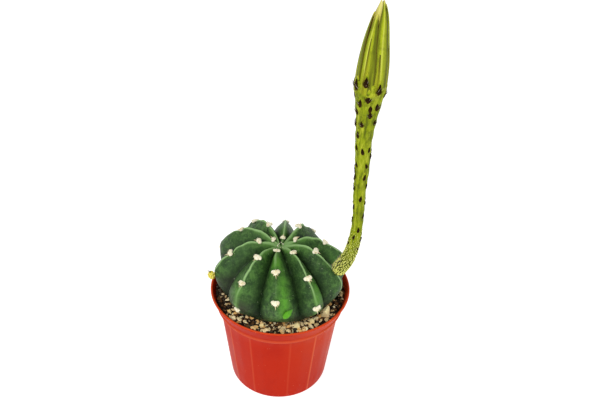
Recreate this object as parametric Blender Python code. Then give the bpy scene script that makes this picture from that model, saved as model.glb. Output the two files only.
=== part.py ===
"""A potted round cactus: thin plastic pot, gritty soil, ribbed body with woolly areoles, and one flower bud.

Metres, +Z up. The origin is the centre of the pot's underside, so the pot rests on z = 0.
"""

import math
import random

import bmesh
import bpy
from mathutils import Matrix, Vector

# Pot
RIM_RADIUS = 0.045
POT_HEIGHT = 0.0719
BASE_RADIUS = 0.0326
WALL_TOP_RADIUS = 0.0392
COLLAR_RADIUS = 0.0414
COLLAR_HEIGHT = 0.0117
POT_WALL = 0.0009
POT_SEGMENTS = 96
DRAIN_HOLES = 6
DRAIN_RADIUS = 0.0033
DRAIN_CIRCLE = 0.021
DRAIN_FIELD = DRAIN_RADIUS * 1.6
DRILL_LENGTH = 0.006
DRILL_SEGMENTS = 20
RIM_LIP = 0.0009
FOOT_RADIUS = 0.0022
FLOOR_SHARE = 1.2

# Gaps that keep touching pieces apart
GAP = 0.0003
SOIL_GAP = 0.0004

# Body: profile of a rib's crest and of the furrow beside it, from the crown down to the root collar, as
# (distance from the body's axis, height over the rim), both in rim radii
CREST = [(0, 0.705), (0.12, 0.79), (0.34, 0.862), (0.519, 0.827), (0.653, 0.732), (0.806, 0.615),
         (0.925, 0.461), (0.945, 0.361), (0.926, 0.245), (0.86, 0.12), (0.74, 0.01), (0.60, -0.08),
         (0.46, -0.15), (0.30, -0.21), (0.12, -0.25)]
FURROW = [(0, 0.695), (0.075, 0.70), (0.20, 0.705), (0.34, 0.675), (0.485, 0.605), (0.62, 0.495),
          (0.72, 0.36), (0.765, 0.26), (0.80, 0.165), (0.80, 0.07), (0.745, -0.02), (0.62, -0.10),
          (0.45, -0.16), (0.29, -0.22), (0.11, -0.255)]
# Each rib: bearing at the crown, bearing at its widest, reach compared with the rib at the front, and how far
# round to the next rib the furrow between them lies
RIBS = [(-104, -94, 1.0, 0.66), (-60, -60, 1.0, 0.5), (-27, -27, 0.98, 0.5), (2, 2, 0.97, 0.5),
        (40, 52, 0.82, 0.5), (74, 85, 0.85, 0.5), (115, 122, 1.0, 0.5), (148, 150, 1.07, 0.5),
        (189, 189, 1.0, 0.4), (231, 231, 1.0, 0.5)]
CROWN_SHARPNESS = 1.0
SKIRT_ROUNDNESS = 2.1
BODY_OFFSET = Vector((0.0013, 0, 0))
BODY_TILT = (math.radians(1.2), math.radians(-2.9))
WIDEST = 0.8
# Rows of faces from the crown to the soil and from there to the root collar, and columns on each rib
ROWS_ABOVE = 22
ROWS_BELOW = 5
COLUMNS_PER_RIB = 8
# Where the search for the soil line starts down each column, and its step
MEETING_START = 0.6
MEETING_STEP = 0.002

# Soil
SOIL_DEPTH = 0.0040
SOIL_RINGS = 4
SOIL_UNEVEN = 0.0005

# Areoles: how far along each crest they sit, 0 at the crown and 1 at the root collar
AREOLES = [(0.115, 0.258, 0.407), (0.15, 0.32, 0.518), (0.223,), (0.103, 0.268, 0.43), (0.163, 0.40, 0.54),
           (0.07, 0.37, 0.50), (0.145, 0.32, 0.49), (0.073, 0.26, 0.52), (0.13, 0.305), (0.198, 0.355, 0.57)]
AREOLE_HALF = (0.0025, 0.0017, 0.0009)

# Flower: route of the tube's middle, its radius there, and the bud that it ends in
TUBE_ROUTE = [(0.0345, -0.0174, 0.1005), (0.0366, -0.0186, 0.1048), (0.0395, -0.0198, 0.1113),
              (0.0417, -0.0207, 0.1197), (0.0430, -0.0212, 0.1290), (0.0436, -0.0212, 0.1444),
              (0.0432, -0.0212, 0.1611), (0.0434, -0.0212, 0.1771), (0.0427, -0.0212, 0.1924),
              (0.0430, -0.0212, 0.2070), (0.0434, -0.0212, 0.2240)]
TUBE_RADII = [0.0039, 0.0039, 0.0038, 0.0036, 0.0033, 0.0031, 0.0034, 0.0039, 0.0044, 0.0054, 0.0082]
# The cup in the tube's top, counted in points of the route: radius at each, and where it ends
CUP_RADII = [(10, 0.0066), (9.2, 0.0045), (8.4, 0.0025)]
CUP_BOTTOM = 8.1
BUD_ROUTE = [(0.0434, -0.0212, 0.2244), (0.0440, -0.0212, 0.2379), (0.0444, -0.0212, 0.2508),
             (0.0448, -0.0212, 0.2640), (0.0454, -0.0212, 0.2721)]
BUD_RADII = [0.0084, 0.0080, 0.0066, 0.0043, 0.0008]
OUTER_TEPALS = 6
INNER_PETALS = 4
TUBE_SEGMENTS = 16

TUBE_STEPS = 24
# Outer tepals and inner petals: turn of the first, half width in degrees, share of the bud's radius, where
# along the bud they start and end, how much later every second one ends, twist, thickness
TEPAL_SHAPE = (0.91, 40, 0.90, 0.02, 0.86, 0.05, 0.085, 0.00045)
PETAL_SHAPE = (0.9, 62, 0.60, 0.02, 0.90, 0.03, 0.18, 0.00035)
TEPAL_POINT = 3.2
PETAL_COLUMNS = 4
PETAL_ROWS = 8
# Style: how far up the bud, and its radius there, with the stigma at the end
STYLE = [(0.0, 0.0007), (0.15, 0.0007), (0.3, 0.0007), (0.34, 0.0011), (0.42, 0.0010)]
STYLE_TIP = 0.44
STYLE_SEGMENTS = 10

YOUNG_BUD_RIB = 8
YOUNG_BUD_T = 0.505
# Half width and half length, how far round from the crest it sits in degrees, its gap from the skin, how far
# above the areole, and how steeply it points up
YOUNG_BUD_RADIUS = 0.0021
YOUNG_BUD_LENGTH = 0.0032
YOUNG_BUD_TURN = 43
YOUNG_BUD_CLEAR = 0.0007
YOUNG_BUD_LIFT = 0.0014
YOUNG_BUD_RISE = 2.6
# Shoot on the front rib's flank: rib, share of the way to the next rib, and how far down, for root and tip
SHOOT_ROOT = (0, 0.11, 0.545)
SHOOT_TIP = (0, 0.39, 0.45)
SHOOT_SIZE = (0.0040, 0.0014)
SHOOT_CLEAR = 0.0014

BRACTS = [(0.0, 0.219), (100.0, 0.2165), (190.0, 0.2185), (275.0, 0.213)]
BRACT_SIZE = (0.0036, 0.0110, 0.0008)
BRACT_SPLAY = 0.26
# How much narrower a scale is at its tip
SCALE_TAPER = 0.75

# Chips of pumice that lie on the soil: bearing, distance from the pot's middle, size
CHIPS = [(-41.5, 0.0378, 0.0039), (-8, 0.0393, 0.0022), (-73, 0.0368, 0.0025), (-57, 0.0368, 0.0019),
         (-107, 0.0374, 0.0019), (-143, 0.0392, 0.0017)]
CHIP_SHAPE = (1.0, 0.62, 0.85)
CHIP_ROUGHNESS = (0.78, 1.05)


def rim_place(x, y, z):
    """A point given in rim radii, with its height over the rim."""
    return Vector((x * RIM_RADIUS, y * RIM_RADIUS, POT_HEIGHT + z * RIM_RADIUS))


def curve_at(points, t):
    """The point at t, 0 to 1, on a smooth curve through the points, which are evenly spaced in t."""
    position = min(max(t, 0), 1) * (len(points) - 1)
    i = min(int(position), len(points) - 2)
    f = position - i
    before, a, b, after = (Vector(points[min(max(j, 0), len(points) - 1)]) for j in range(i - 1, i + 3))
    out = (b - before) / 2
    into = (after - a) / 2
    return (a * (2 * f**3 - 3 * f**2 + 1) + out * (f**3 - 2 * f**2 + f)
            + b * (3 * f**2 - 2 * f**3) + into * (f**3 - f**2))


def number_at(values, t):
    return curve_at([(value, 0) for value in values], t).x


def ease(f):
    f = min(max(f, 0), 1)
    return f * f * (3 - 2 * f)


def material(name, colour, roughness, metallic=0.0):
    made = bpy.data.materials.new(name)
    made.use_nodes = True
    principled = made.node_tree.nodes["Principled BSDF"]
    principled.inputs["Base Color"].default_value = (*colour, 1)
    principled.inputs["Roughness"].default_value = roughness
    principled.inputs["Metallic"].default_value = metallic
    return made


def new_object(name, mesh_maker, look, sharp_degrees=40):
    """An object of this name from a bmesh, shaded smooth with its sharp edges kept."""
    bmesh.ops.recalc_face_normals(mesh_maker, faces=mesh_maker.faces)
    mesh = bpy.data.meshes.new(name)
    mesh_maker.to_mesh(mesh)
    mesh_maker.free()
    mesh.shade_smooth()
    mesh.set_sharp_from_angle(angle=math.radians(sharp_degrees))
    mesh.materials.append(look)
    made = bpy.data.objects.new(name, mesh)
    bpy.context.scene.collection.objects.link(made)
    return made


def skin(rings):
    """A closed bmesh through rings of points, each the same length. A ring of one point is a pole."""
    made = bmesh.new()
    rows = [[made.verts.new(point) for point in ring] for ring in rings]
    for upper, lower in zip(rows, rows[1:]):
        count = max(len(upper), len(lower))
        for i in range(count):
            j = (i + 1) % count
            if len(upper) == 1:
                made.faces.new((upper[0], lower[i], lower[j]))
            elif len(lower) == 1:
                made.faces.new((upper[i], lower[0], upper[j]))
            else:
                made.faces.new((upper[i], lower[i], lower[j], upper[j]))
    return made


def turned(profile, segments):
    """Rings of a profile of (radius, height) turned about Z. A radius of 0 gives a pole."""
    return [
        [Vector((0, 0, z))] if r == 0 else
        [Vector((r * math.cos(a), r * math.sin(a), z))
         for a in (2 * math.pi * k / segments for k in range(segments))]
        for r, z in profile
    ]


# Pot

def inner_wall_radius(z):
    """The pot's inner radius at this height, under the collar and inside it."""
    step = POT_HEIGHT - COLLAR_HEIGHT
    if z < step + POT_WALL:
        return BASE_RADIUS + (WALL_TOP_RADIUS - BASE_RADIUS) * z / step - POT_WALL
    return COLLAR_RADIUS + (RIM_RADIUS - COLLAR_RADIUS) * (z - step) / COLLAR_HEIGHT - POT_WALL * 1.7


def make_pot(look):
    step = POT_HEIGHT - COLLAR_HEIGHT
    lip = RIM_LIP
    foot = FOOT_RADIUS
    near, far = DRAIN_CIRCLE - DRAIN_FIELD, DRAIN_CIRCLE + DRAIN_FIELD
    floor = POT_WALL * FLOOR_SHARE
    profile = [
        (0, 0), (near, 0), (far, 0),
        (BASE_RADIUS - foot, 0), (BASE_RADIUS - foot * 0.3, foot * 0.35), (BASE_RADIUS + 0.0001, foot),
        (WALL_TOP_RADIUS - 0.0004, step - 0.0010), (WALL_TOP_RADIUS + 0.0006, step - 0.0001),
        (COLLAR_RADIUS - 0.0005, step), (COLLAR_RADIUS, step + 0.0006),
        (RIM_RADIUS - lip, POT_HEIGHT - lip * 1.3), (RIM_RADIUS - lip * 0.15, POT_HEIGHT - lip),
        (RIM_RADIUS, POT_HEIGHT - lip * 0.45), (RIM_RADIUS - lip * 0.5, POT_HEIGHT),
        (RIM_RADIUS - lip * 1.5, POT_HEIGHT - lip * 0.1),
        (inner_wall_radius(POT_HEIGHT - lip * 2), POT_HEIGHT - lip * 2),
        (inner_wall_radius(step + POT_WALL * 1.8), step + POT_WALL * 1.8),
        (WALL_TOP_RADIUS - POT_WALL, step + floor), (WALL_TOP_RADIUS - POT_WALL * 1.4, step - 0.0004),
        (BASE_RADIUS - POT_WALL, foot + 0.0004), (BASE_RADIUS - foot, floor),
        (far, floor), (near, floor), (0, floor),
    ]
    pot = new_object("pot", skin(turned(profile, POT_SEGMENTS)), look)
    for k in range(DRAIN_HOLES):
        drill = bmesh.new()
        bearing = 2 * math.pi * k / DRAIN_HOLES
        place = Matrix.Translation((DRAIN_CIRCLE * math.cos(bearing), DRAIN_CIRCLE * math.sin(bearing), 0))
        bmesh.ops.create_cone(drill, cap_ends=True, segments=DRILL_SEGMENTS, radius1=DRAIN_RADIUS,
                              radius2=DRAIN_RADIUS, depth=DRILL_LENGTH, matrix=place)
        cutter = new_object(f"drain_drill_{k}", drill, look)
        cutter.hide_render = True
        cutter.display_type = "WIRE"
        hole = pot.modifiers.new(f"drain_{k}", "BOOLEAN")
        hole.operation = "DIFFERENCE"
        hole.solver = "MANIFOLD"  # EXACT leaves open edges where the drills meet the turned floor
        hole.object = cutter
    return pot


# Body

def body_matrix():
    return Matrix.Rotation(BODY_TILT[1], 3, "Y") @ Matrix.Rotation(BODY_TILT[0], 3, "X")


def rib_bearing(rib, radius):
    """The bearing of a rib's crest at this distance from the body's axis, in degrees that keep rising."""
    at_crown, at_widest = RIBS[rib % len(RIBS)][:2]
    return at_crown + (at_widest - at_crown) * ease(radius / WIDEST) + 360 * (rib // len(RIBS))


def body_point(rib, across, t, swell=0.0):
    """A point of the skin: across goes 0 to 1 from this rib's crest to the next, t from crown to roots."""
    crest = curve_at(CREST, t)
    furrow = curve_at(FURROW, t)
    furrow_share = 0.5 + (RIBS[rib % len(RIBS)][3] - 0.5) * ease(crest.x / WIDEST)
    from_crest = across / furrow_share if across < furrow_share else (1 - across) / (1 - furrow_share)
    roundness = CROWN_SHARPNESS + (SKIRT_ROUNDNESS - CROWN_SHARPNESS) * ease(t * 1.6)
    share = 1 - from_crest**roundness
    radius, height = furrow + (crest - furrow) * share
    here, beyond = RIBS[rib % len(RIBS)][2], RIBS[(rib + 1) % len(RIBS)][2]
    reach = 1 + (here + (beyond - here) * ease(across) - 1) * ease(crest.x / WIDEST)
    low, high = rib_bearing(rib, crest.x), rib_bearing(rib + 1, crest.x)
    bearing = math.radians(low + (high - low) * across)
    out = radius * reach + swell / RIM_RADIUS
    local = Vector((out * math.cos(bearing), out * math.sin(bearing), height - swell / RIM_RADIUS))
    return rim_place(*(body_matrix() @ local)) + BODY_OFFSET


def crest_frame(rib, t):
    """Where a crest is at t, with the outward direction there and the direction down the crest."""
    step = 0.004
    here = body_point(rib, 0, t)
    down = (body_point(rib, 0, t + step) - body_point(rib, 0, t - step)).normalized()
    beside = Vector((-math.sin(math.radians(rib_bearing(rib, WIDEST))),
                     math.cos(math.radians(rib_bearing(rib, WIDEST))), 0))
    outward = beside.cross(down).normalized()
    if outward.dot(here - rim_place(0, 0, 0.2)) < 0:
        outward = -outward
    return here, outward, down


def soil_height(x, y):
    """The height of the soil's surface, a little uneven."""
    wave = math.sin(x * 310 + 1.3) * math.cos(y * 270 + 0.4) + 0.6 * math.sin(x * 610 - y * 530)
    return POT_HEIGHT - SOIL_DEPTH + SOIL_UNEVEN * wave


def columns():
    return [(rib, step / COLUMNS_PER_RIB) for rib in range(len(RIBS)) for step in range(COLUMNS_PER_RIB)]


def meeting_t(rib, across):
    """How far down this column the skin goes under the soil."""
    t = MEETING_START
    while t < 1 and body_point(rib, across, t).z > POT_HEIGHT - SOIL_DEPTH:
        t += MEETING_STEP
    return t


def buried_rings(meetings, swell=0.0):
    """Rings of the body's skin from the soil line down to the root collar, moved out by swell."""
    return [[body_point(rib, across, meet + (1 - meet) * row / ROWS_BELOW, swell)
             for (rib, across), meet in zip(columns(), meetings)] for row in range(ROWS_BELOW + 1)]


def root_end():
    """The middle of the root collar's underside."""
    return (body_point(0, 0, 1) + body_point(len(RIBS) // 2, 0, 1)) / 2


def make_body(look):
    crown = body_point(0, 0, 0)
    meetings = [meeting_t(rib, across) for rib, across in columns()]
    rings = [[crown]]
    for row in range(1, ROWS_ABOVE + 1):
        rings.append([body_point(rib, across, meet * row / ROWS_ABOVE)
                      for (rib, across), meet in zip(columns(), meetings)])
    rings += buried_rings(meetings)[1:]
    rings.append([root_end()])
    return new_object("cactus_body", skin(rings), look, sharp_degrees=60)


def make_soil(look):
    meetings = [meeting_t(rib, across) for rib, across in columns()]
    contact = [body_point(rib, across, meet, SOIL_GAP) for (rib, across), meet in zip(columns(), meetings)]
    bearings = [math.atan2(point.y, point.x) for point in contact]
    top_radius = inner_wall_radius(POT_HEIGHT - SOIL_DEPTH) - SOIL_GAP
    floor = POT_WALL * FLOOR_SHARE + SOIL_GAP
    step = POT_HEIGHT - COLLAR_HEIGHT

    def wall_ring(height, wall_height):
        radius = inner_wall_radius(wall_height) - SOIL_GAP * 2
        return [Vector((radius * math.cos(a), radius * math.sin(a), height)) for a in bearings]

    above_foot = FOOT_RADIUS + 0.0012
    under_step = step - 0.0014
    on_step = step + 0.0022
    in_collar = step + 0.0032
    foot_radius = BASE_RADIUS - FOOT_RADIUS - 0.0002
    rings = [[Vector((0, 0, floor))]]
    rings.append([Vector((foot_radius * math.cos(a), foot_radius * math.sin(a), floor)) for a in bearings])
    rings += [wall_ring(above_foot, above_foot), wall_ring(under_step, under_step),
              wall_ring(on_step, under_step), wall_ring(in_collar, in_collar)]
    for ring in range(SOIL_RINGS):
        inward = ring / SOIL_RINGS
        around = []
        for a, point in zip(bearings, contact):
            x, y = top_radius * math.cos(a), top_radius * math.sin(a)
            x, y = x + (point.x - x) * inward, y + (point.y - y) * inward
            around.append(Vector((x, y, soil_height(x, y))))
        rings.append(around)
    rings += buried_rings(meetings, SOIL_GAP)
    rings.append([root_end() - Vector((0, 0, SOIL_GAP))])
    return new_object("soil", skin(rings), look)


def make_areoles(look):
    """One woolly pad for each areole, lying across the crest of its rib."""
    count = 0
    for rib, places in enumerate(AREOLES):
        for t in places:
            here, outward, down = crest_frame(rib, t)
            across = outward.cross(down).normalized()
            pad = bmesh.new()
            bmesh.ops.create_icosphere(pad, subdivisions=1, radius=1)
            bmesh.ops.scale(pad, vec=AREOLE_HALF, verts=pad.verts)
            made = new_object(f"areole_{count:02d}", pad, look)
            turn = Matrix((across, down, outward)).transposed()
            if turn.determinant() < 0:
                turn = Matrix((-across, down, outward)).transposed()
            made.matrix_world = (Matrix.Translation(here + outward * (AREOLE_HALF[2] + GAP))
                                 @ turn.to_4x4())
            count += 1


# Flower

def route_frame(route, t):
    """Place, direction and two square directions on a route, with no twist between them."""
    place = curve_at(route, t)
    along = (curve_at(route, t + 0.01) - curve_at(route, t - 0.01)).normalized()
    side = Vector((0, 1, 0)).cross(along).normalized()
    return place, along, side, along.cross(side)


def ring_on(route, t, radius, segments):
    place, _, side, front = route_frame(route, t)
    return [place + (side * math.cos(a) + front * math.sin(a)) * radius
            for a in (2 * math.pi * k / segments for k in range(segments))]


def make_flower_tube(look):
    """The tube, grown as one piece, with the cup at its top that the petals stand in."""
    last = len(TUBE_ROUTE) - 1
    rings = [[curve_at(TUBE_ROUTE, 0)]]
    for k in range(TUBE_STEPS + 1):
        t = k / TUBE_STEPS
        rings.append(ring_on(TUBE_ROUTE, t, number_at(TUBE_RADII, t), TUBE_SEGMENTS))
    for position, radius in CUP_RADII:
        rings.append(ring_on(TUBE_ROUTE, position / last, radius, TUBE_SEGMENTS))
    rings.append([curve_at(TUBE_ROUTE, CUP_BOTTOM / last)])
    return new_object("flower_tube", skin(rings), look)


def petal_grid(angle, half_width, depth, start, end, twist):
    """Points of one bud petal: each side lies a little further in than the other, so neighbours overlap."""
    grid = []
    for row in range(PETAL_ROWS + 1):
        f = row / PETAL_ROWS
        t = start + (end - start) * f
        place, _, side, front = route_frame(BUD_ROUTE, t)
        full = number_at(BUD_RADII, t) * depth
        taper = math.sqrt(max(1 - f**TEPAL_POINT, 0.02))
        line = []
        for column in range(PETAL_COLUMNS + 1):
            u = 2 * column / PETAL_COLUMNS - 1
            a = angle + half_width * taper * u
            radius = full * (1 + twist * taper * u)
            line.append(place + (side * math.cos(a) + front * math.sin(a)) * radius)
        grid.append(line)
    return grid


def sheet(grid, thickness, name, look):
    """A closed piece from a grid of points: the sheet itself, thickened inward by a Solidify modifier."""
    made = bmesh.new()
    rows = [[made.verts.new(point) for point in line] for line in grid]
    for upper, lower in zip(rows, rows[1:]):
        for i in range(len(upper) - 1):
            made.faces.new((upper[i], upper[i + 1], lower[i + 1], lower[i]))
    piece = new_object(name, made, look)
    shell = piece.modifiers.new("thickness", "SOLIDIFY")
    shell.thickness = thickness
    shell.offset = 0
    shell.use_even_offset = False
    return piece


def make_whorl(name, count, shape, look):
    """One ring of petals round the bud."""
    first, half_width, depth, start, end, later, twist, thickness = shape
    for k in range(count):
        angle = 2 * math.pi * k / count + first
        grid = petal_grid(angle, math.radians(half_width), depth, start, end + later * (k % 2), twist)
        sheet(grid, thickness, f"{name}_{k:02d}", look)


def make_style(look):
    """The slender style that stands in the middle of the bud, with a thicker stigma."""
    rings = [[curve_at(BUD_ROUTE, 0)]]
    rings += [ring_on(BUD_ROUTE, t, radius, STYLE_SEGMENTS) for t, radius in STYLE]
    rings.append([curve_at(BUD_ROUTE, STYLE_TIP)])
    return new_object("style", skin(rings), look)


def lens(width, length, thickness):
    """A pointed scale standing on its own root at the origin, seen flat along Y."""
    made = bmesh.new()
    bmesh.ops.create_icosphere(made, subdivisions=2, radius=1)
    for point in made.verts:
        height = (point.co.z + 1) / 2
        point.co.x *= width / 2 * (1 - height**2 * SCALE_TAPER)
        point.co.y *= thickness / 2
        point.co.z = length * height
    return made


def make_bracts(look):
    """Narrow scales that lie on the swelling under the bud."""
    for k, (bearing, height) in enumerate(BRACTS):
        width, length, thickness = BRACT_SIZE
        share = next(t / 200 for t in range(201) if curve_at(TUBE_ROUTE, t / 200).z > height)
        place, along, side, front = route_frame(TUBE_ROUTE, share)
        out = side * math.cos(math.radians(bearing)) + front * math.sin(math.radians(bearing))
        radius = number_at(TUBE_RADII, share)
        piece = new_object(f"bract_{k:02d}", lens(width, length, thickness), look)
        up = (along + out * BRACT_SPLAY).normalized()
        across = up.cross(out).normalized()
        turn = Matrix((across, across.cross(up), up)).transposed()
        if turn.determinant() < 0:
            turn = Matrix((-across, across.cross(up), up)).transposed()
        piece.matrix_world = Matrix.Translation(place + out * (radius + thickness + GAP)) @ turn.to_4x4()


def make_young_bud(look):
    """A young flower bud at the widest areole of the left rib, on the side towards the front, pointing up."""
    bearing = math.radians(RIBS[YOUNG_BUD_RIB][1] + YOUNG_BUD_TURN)
    outward = Vector((math.cos(bearing), math.sin(bearing), 0))
    bud = bmesh.new()
    bmesh.ops.create_icosphere(bud, subdivisions=2, radius=1)
    bmesh.ops.scale(bud, vec=(YOUNG_BUD_RADIUS, YOUNG_BUD_RADIUS, YOUNG_BUD_LENGTH), verts=bud.verts)
    made = new_object("young_bud", bud, look)
    aim = outward + Vector((0, 0, YOUNG_BUD_RISE))
    centre = body_point(YOUNG_BUD_RIB, 0, YOUNG_BUD_T) + outward * (YOUNG_BUD_RADIUS + YOUNG_BUD_CLEAR)
    centre.z += YOUNG_BUD_LIFT
    made.matrix_world = Matrix.Translation(centre) @ aim.to_track_quat("Z", "Y").to_matrix().to_4x4()


def make_shoot(look):
    """A small bright shoot that lies on the flank of the front rib, close to the soil."""
    root = body_point(*SHOOT_ROOT)
    lean = body_point(*SHOOT_TIP) - root
    width, thickness = SHOOT_SIZE
    made = new_object("shoot", lens(width, lean.length, thickness), look)
    lean.normalize()
    outward = crest_frame(0, SHOOT_ROOT[2])[1]
    across = lean.cross(outward).normalized()
    front = across.cross(lean).normalized()
    off = front * (thickness / 2 + SHOOT_CLEAR)
    made.matrix_world = Matrix.Translation(root + off) @ Matrix((-across, front, lean)).transposed().to_4x4()


def make_chips(look):
    """The larger chips of pumice, each its own broken shape, lying on the soil."""
    for k, (bearing, distance, size) in enumerate(CHIPS):
        rng = random.Random(40 + k)
        chip = bmesh.new()
        bmesh.ops.create_icosphere(chip, subdivisions=1, radius=1)
        for point in chip.verts:
            point.co *= rng.uniform(*CHIP_ROUGHNESS)
        bmesh.ops.scale(chip, vec=Vector(CHIP_SHAPE) * size, verts=chip.verts)
        made = new_object(f"pumice_{k:02d}", chip, look, sharp_degrees=20)
        a = math.radians(bearing)
        x, y = distance * math.cos(a), distance * math.sin(a)
        z = POT_HEIGHT - SOIL_DEPTH + SOIL_UNEVEN + size * CHIP_SHAPE[2] * CHIP_ROUGHNESS[1] + GAP
        made.matrix_world = Matrix.Translation((x, y, z)) @ Matrix.Rotation(a + math.pi / 2, 4, "Z")


def clear_scene():
    for found in list(bpy.data.objects):
        bpy.data.objects.remove(found, do_unlink=True)


def main():
    clear_scene()
    make_pot(material("pot_plastic", (0.62, 0.075, 0.03), 0.38))
    make_soil(material("gritty_soil", (0.10, 0.06, 0.04), 0.95))
    make_body(material("cactus_skin", (0.055, 0.15, 0.06), 0.5))
    make_areoles(material("areole_wool", (0.85, 0.80, 0.66), 0.95))
    make_flower_tube(material("tube_skin", (0.35, 0.48, 0.07), 0.6))
    make_whorl("outer_tepal", OUTER_TEPALS, TEPAL_SHAPE, material("tepal_green", (0.45, 0.55, 0.06), 0.5))
    make_whorl("inner_petal", INNER_PETALS, PETAL_SHAPE, material("petal_cream", (0.88, 0.85, 0.50), 0.55))
    make_style(material("style_pale", (0.80, 0.82, 0.50), 0.6))
    make_bracts(material("bract_brown", (0.10, 0.07, 0.03), 0.7))
    make_young_bud(material("young_bud_yellow", (0.70, 0.62, 0.08), 0.6))
    make_shoot(material("shoot_green", (0.25, 0.52, 0.05), 0.5))
    make_chips(material("pumice", (0.80, 0.70, 0.48), 0.9))


main()
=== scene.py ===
"""A potted round cactus with one long flower bud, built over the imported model's frame. Metres, +Z up."""

import math
import random

import bmesh
import bpy
from mathutils import Matrix, Vector, noise


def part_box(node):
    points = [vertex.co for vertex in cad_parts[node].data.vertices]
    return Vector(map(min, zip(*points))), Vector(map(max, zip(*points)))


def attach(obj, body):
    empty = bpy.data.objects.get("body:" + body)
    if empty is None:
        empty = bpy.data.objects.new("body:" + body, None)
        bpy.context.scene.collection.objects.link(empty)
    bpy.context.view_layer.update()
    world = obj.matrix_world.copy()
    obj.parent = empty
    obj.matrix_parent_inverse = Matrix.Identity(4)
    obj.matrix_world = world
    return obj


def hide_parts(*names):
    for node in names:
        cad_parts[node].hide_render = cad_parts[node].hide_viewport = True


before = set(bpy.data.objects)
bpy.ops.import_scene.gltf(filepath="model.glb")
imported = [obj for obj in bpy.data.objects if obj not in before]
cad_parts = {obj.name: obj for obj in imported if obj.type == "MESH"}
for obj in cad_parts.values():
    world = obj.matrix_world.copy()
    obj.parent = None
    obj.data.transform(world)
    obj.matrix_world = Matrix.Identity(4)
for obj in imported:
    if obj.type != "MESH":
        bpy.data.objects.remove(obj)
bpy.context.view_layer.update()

# Pot, read from the frame
POT_LOW, POT_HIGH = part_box("pot")
RIM_RADIUS = POT_HIGH[0]
POT_HEIGHT = POT_HIGH[2]
BASE_RADIUS = RIM_RADIUS * 0.7245
WALL_TOP_RADIUS = RIM_RADIUS * 0.871
COLLAR_RADIUS = RIM_RADIUS * 0.920
COLLAR_HEIGHT = RIM_RADIUS * 0.260
POT_WALL = 0.0009
DRAIN_HOLES = 6
DRAIN_RADIUS = 0.0033
DRAIN_CIRCLE = 0.021
SOIL_DEPTH = 0.0040
STEP_HEIGHT = POT_HEIGHT - COLLAR_HEIGHT
FOOT_ROUND = 0.0026
RIM_ROUND = 0.0007
SOIL_LEVEL = POT_HEIGHT - SOIL_DEPTH
# Upright moulding lines: how many, the bearing of the first in degrees, and how plain each is from there on
WALL_LINES = 28
FIRST_LINE = 306.3
LINE_STRENGTHS = (1.0, 0.0, 0.7, 0.0, 0.5, 0.0, 0.6, 0.1, 0.0, 0.5, 0.0, 0.7, 0.0, 0.4,
                  0.0, 0.6, 0.0, 0.5, 0.1, 0.0, 0.3, 0.8, 0.0, 0.4, 0.0, 0.0, 0.25, 0.0)
LINE_STEPS = 14
LINE_RISE = 0.00022

# Body: a rib's crest and the furrow beside it, crown to root collar, as (distance from the axis, height over
# the rim) in rim radii
CREST = [(0, 0.705), (0.12, 0.79), (0.34, 0.862), (0.519, 0.827), (0.653, 0.732), (0.806, 0.615),
         (0.925, 0.461), (0.945, 0.361), (0.926, 0.245), (0.86, 0.12), (0.74, 0.01), (0.60, -0.08),
         (0.46, -0.15), (0.30, -0.21), (0.12, -0.25)]
FURROW = [(0, 0.695), (0.075, 0.70), (0.20, 0.705), (0.34, 0.675), (0.485, 0.605), (0.62, 0.495),
          (0.72, 0.36), (0.765, 0.26), (0.80, 0.165), (0.80, 0.07), (0.745, -0.02), (0.62, -0.10),
          (0.45, -0.16), (0.29, -0.22), (0.11, -0.255)]
# Each rib: bearing at the crown, bearing at its widest, reach compared with the rib at the front, and how far
# round to the next rib the furrow between them lies
RIBS = [(-104, -94, 1.0, 0.66), (-60, -60, 1.0, 0.5), (-27, -27, 0.98, 0.5), (2, 2, 0.97, 0.5),
        (40, 52, 0.82, 0.5), (74, 85, 0.85, 0.5), (115, 122, 1.0, 0.5), (148, 150, 1.07, 0.5),
        (189, 189, 1.0, 0.4), (231, 231, 1.0, 0.5)]
CROWN_SHARPNESS = 1.0
SKIRT_ROUNDNESS = 2.1
BODY_OFFSET = Vector((0.0013, 0, 0))
# The distance from the axis, in rim radii, where a rib has its full bearing and reach
WIDEST = 0.8
BODY_TURN = Matrix.Rotation(math.radians(-2.9), 3, "Y") @ Matrix.Rotation(math.radians(1.2), 3, "X")
# Where the areoles sit down each rib's crest, 0 at the crown to 1 at the roots
AREOLES = [(0.115, 0.258, 0.407), (0.15, 0.32, 0.518), (0.223,), (0.103, 0.268, 0.43), (0.163, 0.40, 0.54),
           (0.07, 0.37, 0.50), (0.145, 0.32, 0.49), (0.073, 0.26, 0.52), (0.13, 0.305), (0.198, 0.355, 0.57)]
# What each point of the skin carries for its look, a painted crest highlight and painted shade among them
SKIN_MARKS = ("off_edge", "line", "painted_crest_highlight", "brighter_green", "brown", "painted_shade")
# How far light goes into green flesh, as red, green and blue
FLESH_RADIUS = (0.0008, 0.001, 0.0003)

# Flower tube and bud: route of the middle and radius there
TUBE_ROUTE = [(0.0345, -0.0174, 0.1005), (0.0366, -0.0186, 0.1048), (0.0395, -0.0198, 0.1113),
              (0.0417, -0.0207, 0.1197), (0.0430, -0.0212, 0.1290), (0.0436, -0.0212, 0.1444),
              (0.0432, -0.0212, 0.1611), (0.0434, -0.0212, 0.1771), (0.0427, -0.0212, 0.1924),
              (0.0430, -0.0212, 0.2070), (0.0434, -0.0212, 0.2240)]
TUBE_RADII = [0.0039, 0.0039, 0.0038, 0.0036, 0.0033, 0.0031, 0.0034, 0.0039, 0.0044, 0.0054, 0.0080]
BUD_ROUTE = [(0.0434, -0.0212, 0.2244), (0.0440, -0.0212, 0.2379), (0.0444, -0.0212, 0.2508),
             (0.0453, -0.0212, 0.2640), (0.0457, -0.0212, 0.2721)]
BUD_RADII = [0.0084, 0.0080, 0.0065, 0.0039, 0.0011]
INNER_PETALS = 4
# The tube's skin goes on up the bud to here, where the petals come out of it
SKIN_END = 0.135
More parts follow.
